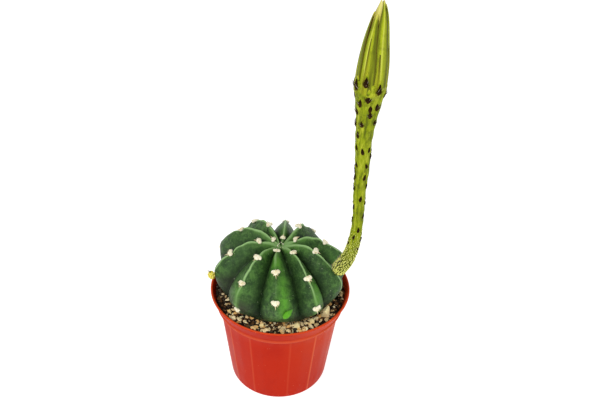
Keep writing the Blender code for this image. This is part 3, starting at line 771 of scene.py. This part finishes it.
def broken_block(rng, shift):
    """A block broken flat on seven sides, with softened edges and a rough skin, within 1 of its middle."""
    shape = bmesh.new()
    bmesh.ops.create_cube(shape, size=2)
    for _ in range(7):
        normal = Vector((rng.uniform(-1, 1), rng.uniform(-1, 1), rng.uniform(-0.2, 1))).normalized()
        cut = bmesh.ops.bisect_plane(shape, geom=shape.verts[:] + shape.edges[:] + shape.faces[:],
                                     plane_co=normal * rng.uniform(0.62, 0.95), plane_no=normal,
                                     clear_outer=True)
        rim = [item for item in cut["geom_cut"] if isinstance(item, bmesh.types.BMEdge)]
        bmesh.ops.contextual_create(shape, geom=rim)
    bmesh.ops.bevel(shape, geom=shape.edges[:], offset=0.06, segments=1, affect="EDGES", profile=0.5,
                    material=-1)
    bmesh.ops.triangulate(shape, faces=shape.faces)
    bmesh.ops.subdivide_edges(shape, edges=shape.edges, cuts=1)
    for point in shape.verts:
        point.co += point.co.normalized() * 0.07 * noise.noise(point.co * 3 + Vector((shift, 0, 0)))
    return shape


def make_chips(look):
    """The larger chips of pumice, each broken to its own shape and made a little larger than its node."""
    for k in range(6):
        node = f"pumice_{k:02d}"
        low, high = node_box(node)
        centre = (low + high) / 2
        half = (high - low) / 2 * 1.02
        shape = broken_block(random.Random(70 + k), k)
        tone = shape.verts.layers.float.new("tone")
        reach = [max(abs(point.co[axis]) for point in shape.verts) for axis in range(3)]
        for point in shape.verts:
            point[tone] = 0.42 + 0.06 * k
            for axis in range(3):
                point.co[axis] = centre[axis] + point.co[axis] / reach[axis] * half[axis]
        finish(f"pumice_chip_{k:02d}", shape, look, [node], 30)


# Body

def near_areole(rib, t):
    return min((abs(t - place) for place in AREOLES[rib % len(RIBS)]), default=1)


def gauss(value, middle, width):
    return math.exp(-((value - middle) / width) ** 2)


def make_body(look):
    """The body's skin: a ball whose every vertex is moved to its place on the ribs."""
    per_rib = 26
    rows = 150
    shape = bmesh.new()
    bmesh.ops.create_uvsphere(shape, u_segments=per_rib * len(RIBS), v_segments=rows, radius=1)
    layers = [shape.verts.layers.float.new(name) for name in SKIN_MARKS]
    axis = rim_place(0, 0, 0.25) + BODY_OFFSET
    for point in shape.verts:
        t = math.acos(max(-1, min(1, point.co.z))) / math.pi
        column = (math.atan2(point.co.y, point.co.x) / (2 * math.pi) * len(RIBS) + 1e-6) % len(RIBS)
        rib = int(column)
        across = column - rib
        skin = body_point(rib, across, t)
        outward = (skin - axis).normalized()
        from_crest = crest_distance(rib, across, t)
        near = near_areole(nearest_rib(rib, across), t)
        swell = 0.0008 * (gauss(near, 0.05, 0.03) - gauss(near, 0, 0.018))
        ripple = 0.0003 * noise.noise(skin * 90) + 0.00012 * noise.noise(skin * 260)
        edge = 0.0004 * gauss(from_crest, 0, 0.07) * (1 - ease((t - 0.25) / 0.15))
        point.co = skin + outward * (swell * gauss(from_crest, 0, 0.22) + ripple + edge)
        for layer, value in zip(layers, skin_marks(rib, across, t, skin)):
            point[layer] = value
    finish("cactus_skin_body", shape, look, ["cactus_body"], 75)


def nearest_rib(rib, across):
    return rib if across < 0.5 else (rib + 1) % len(RIBS)


def skin_marks(rib, across, t, skin):
    """What a point of the skin carries for its look, in the order of SKIN_MARKS."""
    from_crest = crest_distance(rib, across, t)
    owner = nearest_rib(rib, across)
    half_rib_mm = math.pi * curve_at(CREST, t).x * RIM_RADIUS / len(RIBS) * 1000
    height = (skin.z - POT_HEIGHT) / RIM_RADIUS
    # Painted crest highlight: near the crown, and on the lower crests of the two ribs beside the front rib.
    front_crest = 0.6 * ease((t - 0.34) / 0.08) if owner in (1, 9) else 0
    painted_crest_highlight = 0.85 * (1 - ease((t - 0.10) / 0.16)) + front_crest
    brighter_green = brighter_green_patches(rib, across, t)
    left = ease((-skin.x / RIM_RADIUS - 0.30) / 0.25) * ease((0.50 - height) / 0.25)
    brown = min(1, left * (0.45 + 0.7 * from_crest + noise.noise(skin * 40)))
    # Painted shade: darker towards each furrow and low on the body near the soil.
    foot = ease((0.34 - height) / 0.30) * (1 - 0.75 * min(1, brighter_green))
    shade = 0.68 * ease((from_crest - 0.40) / 0.55) * (1 - 0.3 * ease((t - 0.4) / 0.2))
    painted_shade = min(1, shade + foot * (0.75 + 0.5 * noise.noise(skin * 120)))
    uneven_brighter_green = brighter_green + 0.25 * max(0, noise.noise(skin * 55))
    return from_crest * half_rib_mm, crest_line(owner, t), painted_crest_highlight, uneven_brighter_green, brown, painted_shade


def crest_line(rib, t):
    """How plain the thin pale line on a crest is: full at the back, gone from the soft crest in front."""
    fades = {0: (0.12, 0.25, 0.05), 1: (0.34, 0.44, 0.25), 9: (0.34, 0.44, 0.15)}
    start, end, left = fades.get(rib, (0.40, 0.62, 0.45))
    return 1 - (1 - left) * ease((t - start) / (end - start))


def brighter_green_patches(rib, across, t):
    """Where the skin is a brighter green: the front rib's flank, beside it and on the far ribs."""
    places = {0: [(0.22, 0.14, 0.42, 0.12, 1.1), (0.0, 0.25, 0.19, 0.05, 0.9)],
              1: [(0.16, 0.18, 0.42, 0.10, 0.75)],
              2: [(0.4, 0.4, 0.4, 0.2, 0.3)],
              4: [(0.5, 0.4, 0.3, 0.15, 0.5)],
              5: [(0.5, 0.4, 0.3, 0.15, 0.6)],
              9: [(1.0, 0.2, 0.19, 0.05, 0.9)]}
    return sum(strength * gauss(across, middle, width) * gauss(t, height, length)
               for middle, width, height, length, strength in places.get(rib, []))


def add_pad(pads, rng, base, axes, size):
    """Adds one areole's woolly pad: a few joined cushions, small lumps on them, and short curled fibres."""
    across, down, outward = axes
    turn = turn_to(across, down, outward)
    lumps = [(-0.0012, -0.0003, 1.3), (0.0012, -0.0003, 1.3), (0.0, 0.0004, 1.45), (0.0, -0.0006, 1.2)]
    lumps += [(rng.uniform(-0.0019, 0.0019), rng.uniform(-0.0009, 0.0008), 0.75) for _ in range(7)]
    for x, y, big in lumps:
        half = 0.00095 * big * rng.uniform(0.85, 1.1)
        place = base + (across * x + down * (y - abs(x) * 0.15) + outward * (0.0006 - abs(x) * 0.2)) * size
        stretch = Matrix.Diagonal((half * size, half * size * 0.9, half * size * 0.75, 1))
        add_lump(pads, Matrix.Translation(place) @ turn @ stretch, 2, 0.10, rng)
    for _ in range(110):
        a = rng.uniform(0, 2 * math.pi)
        reach = rng.random() ** 0.5
        x, y = math.cos(a) * reach * 0.0020, math.sin(a) * reach * 0.0012
        root = base + (across * x + down * y + outward * 0.0009) * size
        way = (across * x * 330 + down * (y * 350 + 0.25) + outward * rng.uniform(0.2, 0.8)
               + Vector((rng.uniform(-0.3, 0.3), rng.uniform(-0.3, 0.3), rng.uniform(-0.3, 0.3))))
        tip = root + way.normalized() * rng.uniform(0.0004, 0.0009) * size
        blade(pads, root, tip, 0.00016, outward, 0.00012, 2)


def add_spines(spines, rng, base, axes, size):
    """Adds one to three short spines that point down the crest, the middle one the longest."""
    across, down, outward = axes
    for k in range(rng.choice((1, 2, 2, 3))):
        lean = (0, 0.55, -0.55)[k]
        root = base + (down * 0.0008 + across * lean * 0.0012 + outward * 0.0005) * size
        way = down + outward * rng.uniform(0.25, 0.45) + across * (lean + rng.uniform(-0.12, 0.12))
        length = (0.0026, 0.0017, 0.0015)[k] * rng.uniform(0.85, 1.15) * size
        width = (0.0010, 0.0008, 0.0008)[k]
        blade(spines, root, root + way.normalized() * length, width, outward, 0.0002, 4)


def make_areoles(wool_look, horn_look):
    """Woolly pads with their spines down every crest, and small tufts of wool on the crown."""
    rng = random.Random(5)
    pads, spines = bmesh.new(), bmesh.new()
    for rib, places in enumerate(AREOLES):
        for t in places:
            here, outward, down = crest_frame(rib, t)
            axes = (outward.cross(down).normalized(), down, outward)
            size = rng.uniform(0.95, 1.12) * (0.66 + 0.34 * ease(t / 0.2))
            base = here + outward * 0.0002
            add_pad(pads, rng, base, axes, size)
            add_spines(spines, rng, base, axes, size)
    crown = body_place(Vector((0, 0, CREST[0][1])))
    for k in range(10):
        a = k * 2 * math.pi / 10 + 0.2
        reach = rng.uniform(0.0012, 0.0032)
        place = crown + Vector((math.cos(a) * reach, math.sin(a) * reach, 0.0004 + reach * 0.65))
        half = rng.uniform(0.0003, 0.0006)
        add_lump(pads, Matrix.Translation(place) @ Matrix.Diagonal((half, half, half * 0.8, 1)), 1, 0.15, rng)
    nodes = [f"areole_{k:02d}" for k in range(sum(len(places) for places in AREOLES))]
    finish("areole_felt", pads, wool_look, nodes)
    finish("areole_spines", spines, horn_look)


# Flower

def flower_skin(height, angle, lift=0.0):
    """A point on the tube, or over its end on the bud, at this height, with the ways out and along."""
    if height < TUBE_ROUTE[-1][2]:
        route, radii = TUBE_ROUTE, TUBE_RADII
    else:
        route, radii = BUD_ROUTE, BUD_RADII
    low, high = 0.0, 1.0
    for _ in range(20):
        middle = (low + high) / 2
        low, high = (middle, high) if curve_at(route, middle).z < height else (low, middle)
    return around(route, radii, low, angle, lift)


def make_tube(look):
    """The flower tube's skin, drawn out ring by ring along its route, a little swollen between its scales."""
    segments = 40
    tube_steps = 150
    bud_steps = 10
    places = [(TUBE_ROUTE, TUBE_RADII, k / tube_steps) for k in range(tube_steps)]
    places += [(BUD_ROUTE, BUD_RADII, SKIN_END * k / bud_steps) for k in range(bud_steps + 1)]
    shape = bmesh.new()
    uv = shape.loops.layers.uv.new("tube")
    rows = [bmesh.ops.create_circle(shape, cap_ends=False, radius=1, segments=segments)["verts"]]
    edges = shape.edges[:]
    for _ in places[1:]:
        made = bmesh.ops.extrude_edge_only(shape, edges=edges)["geom"]
        rows.append([item for item in made if isinstance(item, bmesh.types.BMVert)])
        edges = [item for item in made if isinstance(item, bmesh.types.BMEdge)
                 and all(point in set(rows[-1]) for point in item.verts)]
    where = {}
    for row, points in enumerate(rows):
        for point in points:
            where[point] = (math.atan2(point.co.y, point.co.x) / (2 * math.pi) % 1, row / (len(rows) - 1))
    for row, (points, (route, radii, t)) in enumerate(zip(rows, places)):
        along = row / (len(rows) - 1)
        for point in points:
            angle = where[point][0] * 2 * math.pi
            spiral = math.sin(along * 66 + angle * 3) * math.sin(along * 66 - angle * 5)
            swell = 0.00025 * spiral + 0.00012 * math.sin(angle * 9 + along * 8)
            point.co, _, _ = around(route, radii, t, angle, swell * min(1, (1 - along) * 30))
    for face in shape.faces:
        for loop in face.loops:
            loop[uv].uv = where[loop.vert]
    bmesh.ops.contextual_create(shape, geom=rows[0])
    cup = bmesh.ops.contextual_create(shape, geom=rows[-1])["faces"]
    bmesh.ops.inset_region(shape, faces=cup, thickness=0.0006)
    bmesh.ops.translate(shape, verts=cup[0].verts, vec=(0, 0, 0.0005))
    bmesh.ops.inset_region(shape, faces=cup, thickness=0.0008)
    bmesh.ops.translate(shape, verts=cup[0].verts, vec=(0, 0, -0.004))
    finish("flower_tube_skin", shape, look, ["flower_tube"], 50)


def add_scale(shape, tip_layer, root, up, out, width, length, thickness, curl=0.0, subdivisions=2):
    """Adds one pointed scale that stands on its root, with 0 to 1 from root to tip written on it."""
    across = up.cross(out).normalized()
    face = across.cross(up).normalized()
    points = bmesh.ops.create_icosphere(shape, subdivisions=subdivisions, radius=1)["verts"]
    for point in points:
        height = (point.co.z + 1) / 2
        x = point.co.x * width / 2 * (1 - height**2 * 0.78)
        y = point.co.y * thickness / 2
        point[tip_layer] = height
        point.co = root + across * x + face * (y + curl * height**2) + up * (length * height)


def add_hairs(shape, rng, count, height, angle, lengths, spread, stand):
    """Adds fine hairs that grow upward and outward round one place on the flower's skin."""
    for _ in range(count):
        a = angle + rng.uniform(-spread, spread)
        start, out, along = flower_skin(height + rng.uniform(-0.0006, 0.0010), a)
        way = (along * rng.uniform(0.6, 1.2) + out * rng.uniform(*stand)
               + out.cross(along) * rng.uniform(-0.6, 0.6))
        blade(shape, start, start + way.normalized() * rng.uniform(*lengths), 0.00015, out, 0.0003, 2)


def add_tuft(shapes, rng, bearing, height, size, dark_hairs, pale_hairs):
    """Adds a dark scale pressed to the skin, the green cushion over it, and hair standing round its root."""
    tuft, tuft_tip, cushion, cushion_tip, pale, dark = shapes
    angle = math.radians(bearing)
    width, length = size
    root, out, along = flower_skin(height - length / 2, angle)
    lean = out.cross(along) * rng.uniform(-0.22, 0.22)
    up = (along + out * 0.06 + lean).normalized()
    add_scale(tuft, tuft_tip, root, up, out, width, length, width * 0.45, 0.0, 3)
    bump, bump_out, bump_along = flower_skin(height + length * 0.28, angle, -width * 0.22)
    add_scale(cushion, cushion_tip, bump, (bump_along + bump_out * 0.12).normalized(), bump_out, width * 0.9,
              length * 0.55, width * 0.5, 0.0, 3)
    add_hairs(dark, rng, dark_hairs, height - length * 0.35, angle, (length * 0.25, length * 0.6), width * 75,
              (0.0, 0.45))
    add_hairs(pale, rng, pale_hairs, height - length * 0.2, angle, (length * 0.5, length * 0.9), width * 70,
              (0.4, 1.1))


def add_packed_scales(shape, tip_layer, rng):
    """Adds the scales that lie packed in staggered rows on the tube's lower end, smaller row by row."""
    rows = 40
    per_row = 13
    for row in range(rows):
        size = 1.05 - 0.72 * row / rows
        for k in range(per_row):
            t = 0.004 + 0.44 * row / (rows - 1) + rng.uniform(-0.003, 0.003)
            angle = 2 * math.pi * (k + 0.5 * (row % 2)) / per_row + rng.uniform(-0.12, 0.12)
            root, out, along = around(TUBE_ROUTE, TUBE_RADII, t, angle, -0.0001)
            up = (along + out * 0.42).normalized()
            length = rng.uniform(0.0022, 0.0030) * size
            add_scale(shape, tip_layer, root, up, out, 0.0012 * size, length, 0.0007, -0.0003, 2)


def make_scales_and_hairs(looks):
    """Small dark scales up the tube, larger tufts under the bud, and packed scales at the tube's root."""
    brown_look, base_look, cushion_look, pale_look, dark_look = looks
    rng = random.Random(11)
    tuft, cushion, pale, dark, packed = (bmesh.new() for _ in range(5))
    tuft_tip, cushion_tip, packed_tip = (
        shape.verts.layers.float.new("tip") for shape in (tuft, cushion, packed))
    shapes = (tuft, tuft_tip, cushion, cushion_tip, pale, dark)
    for bearing, height in TUFTS:
        big = 0.78 + 0.30 * ease((height - 0.205) / 0.02)
        size = (0.0026 * big, 0.0060 * big)
        add_tuft(shapes, rng, bearing, height, size, 40, 2)
        add_tuft(shapes, rng, 360 - bearing, height - 0.0018, size, 40, 2)
    for bearing, t in SCALES:
        height = curve_at(TUBE_ROUTE, t).z
        width = rng.uniform(0.85, 1.15) * (0.0015 + 0.0005 * t)
        size = (width, width * 2.2)
        add_tuft(shapes, rng, bearing, height, size, 12, 0)
        add_tuft(shapes, rng, 360 - bearing, height + 0.0020, size, 12, 0)
    add_packed_scales(packed, packed_tip, rng)
    for _ in range(300):
        t = rng.random() * 0.20
        angle = rng.gauss(math.radians(160), 0.7)
        start, out, along = around(TUBE_ROUTE, TUBE_RADII, t, angle)
        way = (along * rng.uniform(0.5, 1.2) + out * rng.uniform(0.3, 0.9)
               + out.cross(along) * rng.uniform(-0.6, 0.6))
        blade(pale, start, start + way.normalized() * rng.uniform(0.0012, 0.0026), 0.00014, out, 0.0003, 2)
    finish("tube_tufts", tuft, brown_look)
    finish("tube_cushions", cushion, cushion_look)
    finish("base_scales", packed, base_look)
    finish("tube_pale_hair", pale, pale_look)
    finish("tube_dark_hair", dark, dark_look)


def make_bracts(brown_look):
    """The four narrow dark bracts that the tube's end carries, each where the frame has it."""
    for k in range(4):
        node = f"bract_{k:02d}"
        low, high = node_box(node)
        place, _, side, front = route_frame(TUBE_ROUTE, 0.96)
        aim = (low + high) / 2 - place
        angle = math.atan2(aim.dot(front), aim.dot(side))
        root, out, along = flower_skin(low.z + 0.0012, angle, 0.0001)
        shape = bmesh.new()
        tip = shape.verts.layers.float.new("tip")
        add_scale(shape, tip, root, (along + out * 0.08).normalized(), out, 0.0024, 0.0066, 0.0008, 0.0002, 3)
        finish(f"dark_bract_{k:02d}", shape, brown_look, [node])


def make_petal(name, look, replaced, angle, half_width, depth, reach, thickness, twist, ridge,
               point=3.0):
    """One petal: a grid laid round the bud, ridged down its middle, with a rounded or sharp tip."""
    start, end = reach
    shape = bmesh.new()
    uv = shape.loops.layers.uv.new("petal")
    bmesh.ops.create_grid(shape, x_segments=14, y_segments=40, size=0.5)
    where = {corner: (corner.co.x + 0.5, corner.co.y + 0.5) for corner in shape.verts}
    for face in shape.faces:
        for loop in face.loops:
            loop[uv].uv = where[loop.vert]
    for corner, (across, f) in where.items():
        u = 2 * across - 1
        t = start + (end - start) * f
        place, _, side, front = route_frame(BUD_ROUTE, t)
        taper = math.sqrt(max(1 - f**point, 0.004)) if point > 1 else max(1 - f, 0.04) ** 0.75
        ridges = math.cos(u * math.pi) * 0.5 + 0.2 * math.cos(u * 3 * math.pi)
        swell = 1 + twist * taper * u + ridge * ridges
        radius = number_at(BUD_RADII, t) * depth * swell
        a = angle + half_width * taper * u
        corner.co = place + (side * math.cos(a) + front * math.sin(a)) * radius
    piece = finish(name, shape, look, replaced)
    shell = piece.modifiers.new("thickness", "SOLIDIFY")
    shell.thickness = thickness
    shell.offset = 0
    smooth = piece.modifiers.new("smooth", "SUBSURF")
    smooth.levels = 1
    smooth.render_levels = 1


def make_bud(outer_look, inner_look, sepal_look):
    """The closed bud: inner petals, outer tepals round them, and short sepals pressed to its foot."""
    first, inner_first = 0.91, 0.9
    for k, end in enumerate(TEPAL_ENDS):
        angle = 2 * math.pi * k / len(TEPAL_ENDS) + first
        make_petal(f"tepal_{k:02d}", outer_look, [f"outer_tepal_{k:02d}"], angle,
                   math.radians(42), 0.93, (-0.02, end), 0.00055, 0.085, 0.08)
    for k in range(INNER_PETALS):
        angle = 2 * math.pi * k / INNER_PETALS + inner_first
        make_petal(f"petal_{k:02d}", inner_look, [f"inner_petal_{k:02d}"], angle,
                   math.radians(66), 0.74, (0.02, 1.0), 0.0004, 0.10, 0.03, 5.0)
    for k, (bearing, half_width, end) in enumerate(SEPALS):
        make_petal(f"sepal_{k:02d}", sepal_look, [], math.radians(bearing),
                   math.radians(half_width), 0.985, (0.02, end), 0.0004, 0.02, 0.03, 1.0)


def dress_style(look):
    """The style keeps its modelled shape and takes the look of the petals it stands among."""
    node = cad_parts["style"]
    node.data.materials.clear()
    node.data.materials.append(look)


def make_young_bud(look, scale_skin, bristle_look):
    """A young flower bud with small scales pressed to it and a few dark bristles."""
    low, high = node_box("young_bud")
    centre = (low + high) / 2
    axis = Vector((-0.22, -0.28, 1.0)).normalized()
    side = axis.orthogonal().normalized()
    front = axis.cross(side)
    half_width, half_length = 0.0021, 0.0031
    rng = random.Random(3)
    shape = bmesh.new()
    points = add_lump(shape, turn_to(side, front, axis)
                      @ Matrix.Diagonal((half_width, half_width, half_length, 1)), 4)
    for point in points:
        point.co += point.co.normalized() * 0.00018 * noise.noise(point.co * 1500)
    bmesh.ops.translate(shape, verts=shape.verts, vec=centre)
    finish("young_bud_skin", shape, look, ["young_bud"])
    scales = bmesh.new()
    layer = scales.verts.layers.float.new("tip")
    for k in range(26):
        height = -0.8 + 1.5 * k / 26
        a = k * math.radians(137.5)
        way = side * math.cos(a) + front * math.sin(a)
        root = centre + way * half_width * math.sqrt(1 - height**2) + axis * half_length * height
        add_scale(scales, layer, root, (axis + way * 0.15 - way * 0.7 * max(0, height)).normalized(), way,
                  0.0013, 0.0017, 0.0005)
    finish("young_bud_scales", scales, scale_skin)
    hair = bmesh.new()
    top = centre + axis * half_length * 0.85
    for k in range(16):
        way = axis + Vector((rng.uniform(-0.9, 0.3), rng.uniform(-0.5, 0.5), rng.uniform(-0.2, 0.6)))
        length = 0.0068 if k < 2 else rng.uniform(0.0014, 0.003)
        blade(hair, top, top + way.normalized() * length, 0.00024 if k < 2 else 0.00015, axis, 0.0004, 4)
    finish("young_bud_hair", hair, bristle_look)


def make_shoot(look):
    """A small pointed shoot that leans up from the front rib's foot, with two more leaves behind it."""
    low, high = node_box("shoot")
    middle = (low.y + high.y) / 2
    root = Vector((low.x + 0.0010, middle - 0.0008, low.z + 0.0002))
    tip = Vector((high.x + 0.0002, middle + 0.0004, high.z + 0.0014))
    up = (tip - root).normalized()
    out = Vector((-0.1, -0.9, 0.45)).normalized()
    shape = bmesh.new()
    layer = shape.verts.layers.float.new("tip")
    leaves = ((0, 0.0040, 1.0, 0), (-0.34, 0.0026, 0.66, 0.0004), (0.36, 0.0024, 0.60, 0.0005))
    for lean, width, share, lift in leaves:
        way = (up + out.cross(up) * lean - out * lift * 300).normalized()
        length = (tip - root).length * share
        add_scale(shape, layer, root - out * lift, way, out, width, length, 0.0014, 0.0004, 4)
    finish("shoot_leaf", shape, look, ["shoot"])


# Stage

def make_camera():
    """The camera, which looks down at the plant and leans a little to one side."""
    data = bpy.data.cameras.new("camera")
    data.lens = LENS_MM
    data.sensor_width = SENSOR_MM
    data.clip_start = 0.01
    data.clip_end = 20
    camera = bpy.data.objects.new("camera", data)
    forward = Vector((math.sin(EYE_YAW) * math.cos(EYE_PITCH), math.cos(EYE_YAW) * math.cos(EYE_PITCH),
                      -math.sin(EYE_PITCH)))
    right = Vector((math.cos(EYE_YAW), -math.sin(EYE_YAW), 0))
    up = right.cross(forward)
    rolled_right = right * math.cos(EYE_ROLL) + up * math.sin(EYE_ROLL)
    rolled_up = up * math.cos(EYE_ROLL) - right * math.sin(EYE_ROLL)
    camera.matrix_world = Matrix.Translation(EYE) @ turn_to(rolled_right, rolled_up, -forward)
    bpy.context.scene.collection.objects.link(camera)
    bpy.context.scene.camera = camera


def make_light(name, place, aim, size, power):
    """A round soft lamp that points from its place at the aim."""
    data = bpy.data.lights.new(name, "AREA")
    data.shape = "DISK"
    data.size = size
    data.energy = power
    light = bpy.data.objects.new(name, data)
    light.matrix_world = (Matrix.Translation(place)
                          @ (Vector(aim) - Vector(place)).to_track_quat("-Z", "Y").to_matrix().to_4x4())
    bpy.context.scene.collection.objects.link(light)


def make_stage():
    """A white floor and plain soft light: one broad lamp from the upper left, a weaker one from the right."""
    shape = bmesh.new()
    bmesh.ops.create_grid(shape, x_segments=1, y_segments=1, size=6)
    mesh = bpy.data.meshes.new("floor")
    shape.to_mesh(mesh)
    shape.free()
    made, tree, shader, position = new_material("white paper floor", 0.9, 0.1)
    tone = noise_node(tree, position, 3.0)
    paper = mix(tree, tone, rgb(253, 253, 253), rgb(255, 255, 255))
    tree.links.new(mix(tree, tone, rgb(186, 186, 186), rgb(190, 190, 190)), shader.inputs["Base Color"])
    tree.links.new(paper, shader.inputs["Emission Color"])
    shader.inputs["Emission Strength"].default_value = 0.86
    mesh.materials.append(made)
    floor = bpy.data.objects.new("floor", mesh)
    bpy.context.scene.collection.objects.link(floor)
    world = bpy.data.worlds.new("studio")
    world.use_nodes = True
    world.node_tree.nodes["Background"].inputs["Color"].default_value = (1, 1, 1, 1)
    world.node_tree.nodes["Background"].inputs["Strength"].default_value = 0.53
    bpy.context.scene.world = world
    bpy.context.scene.view_settings.view_transform = "Standard"
    make_light("key", (-0.38, -0.68, 0.85), (0, 0, 0.09), 0.36, 5.7)
    make_light("fill", (0.75, -0.45, 0.45), (0, 0, 0.09), 0.7, 1.2)


def main():
    make_camera()
    make_stage()
    pumice = grain_stone("cream pumice", rgb(255, 240, 190), rgb(176, 136, 78), rgb(240, 190, 116))
    brown = scale_look("dry brown scale", rgb(52, 34, 8), rgb(36, 20, 6), rgb(14, 8, 3))
    packed = scale_look("packed base scale", rgb(74, 84, 12), rgb(228, 230, 126), rgb(160, 168, 52),
                        0.2, 0.75)
    cushion = scale_look("green cushion", rgb(122, 144, 16), rgb(178, 176, 48), rgb(128, 132, 20), 0.3, 0.9)
    young_scale = scale_look("young yellow scale", rgb(196, 176, 40), rgb(250, 242, 150), rgb(206, 188, 60),
                             0.2, 0.8)
    pale_hair = hair_look("grey-white hair", rgb(134, 126, 96), rgb(212, 206, 176), 0.7, 0.3, 0.2)
    bristle = hair_look("dark brown hair", rgb(26, 16, 8), rgb(84, 60, 30), 0.8, 0.05)
    make_pot(pot_plastic())
    make_soil_bed(peat())
    scatter_grains("pumice_grit", pumice, 480, (0.0005, 0.0021), 31, 0.88, 0.1)
    scatter_grains("dark_grit", grain_stone("dark grit", rgb(44, 30, 18), rgb(10, 7, 5), rgb(104, 72, 40)),
                   1300, (0.0006, 0.0019), 32, 0.0, 0.15)
    make_chips(grain_stone("broken pumice", rgb(255, 240, 180), rgb(226, 186, 116), rgb(252, 224, 150)))
    make_body(cactus_skin())
    make_areoles(wool(), spine_horn())
    make_tube(tube_skin())
    make_scales_and_hairs((brown, packed, cushion, pale_hair, bristle))
    make_bracts(brown)
    tepal = tepal_skin("green tepal", rgb(160, 172, 22), rgb(206, 208, 92), rgb(82, 88, 2), rgb(84, 54, 8),
                       rgb(206, 200, 84), 0.92)
    petal = tepal_skin("cream petal", rgb(184, 178, 62), rgb(206, 200, 110), rgb(144, 138, 32),
                       rgb(170, 160, 60), rgb(222, 214, 132), 0.7)
    sepal = tepal_skin("olive sepal", rgb(128, 130, 10), rgb(110, 108, 8), rgb(152, 158, 22),
                       rgb(184, 182, 60), rgb(54, 36, 8), 0.35, 0.7)
    make_bud(tepal, petal, sepal)
    dress_style(petal)
    make_young_bud(young_yellow(), young_scale, bristle)
    make_shoot(fresh_green())


main()
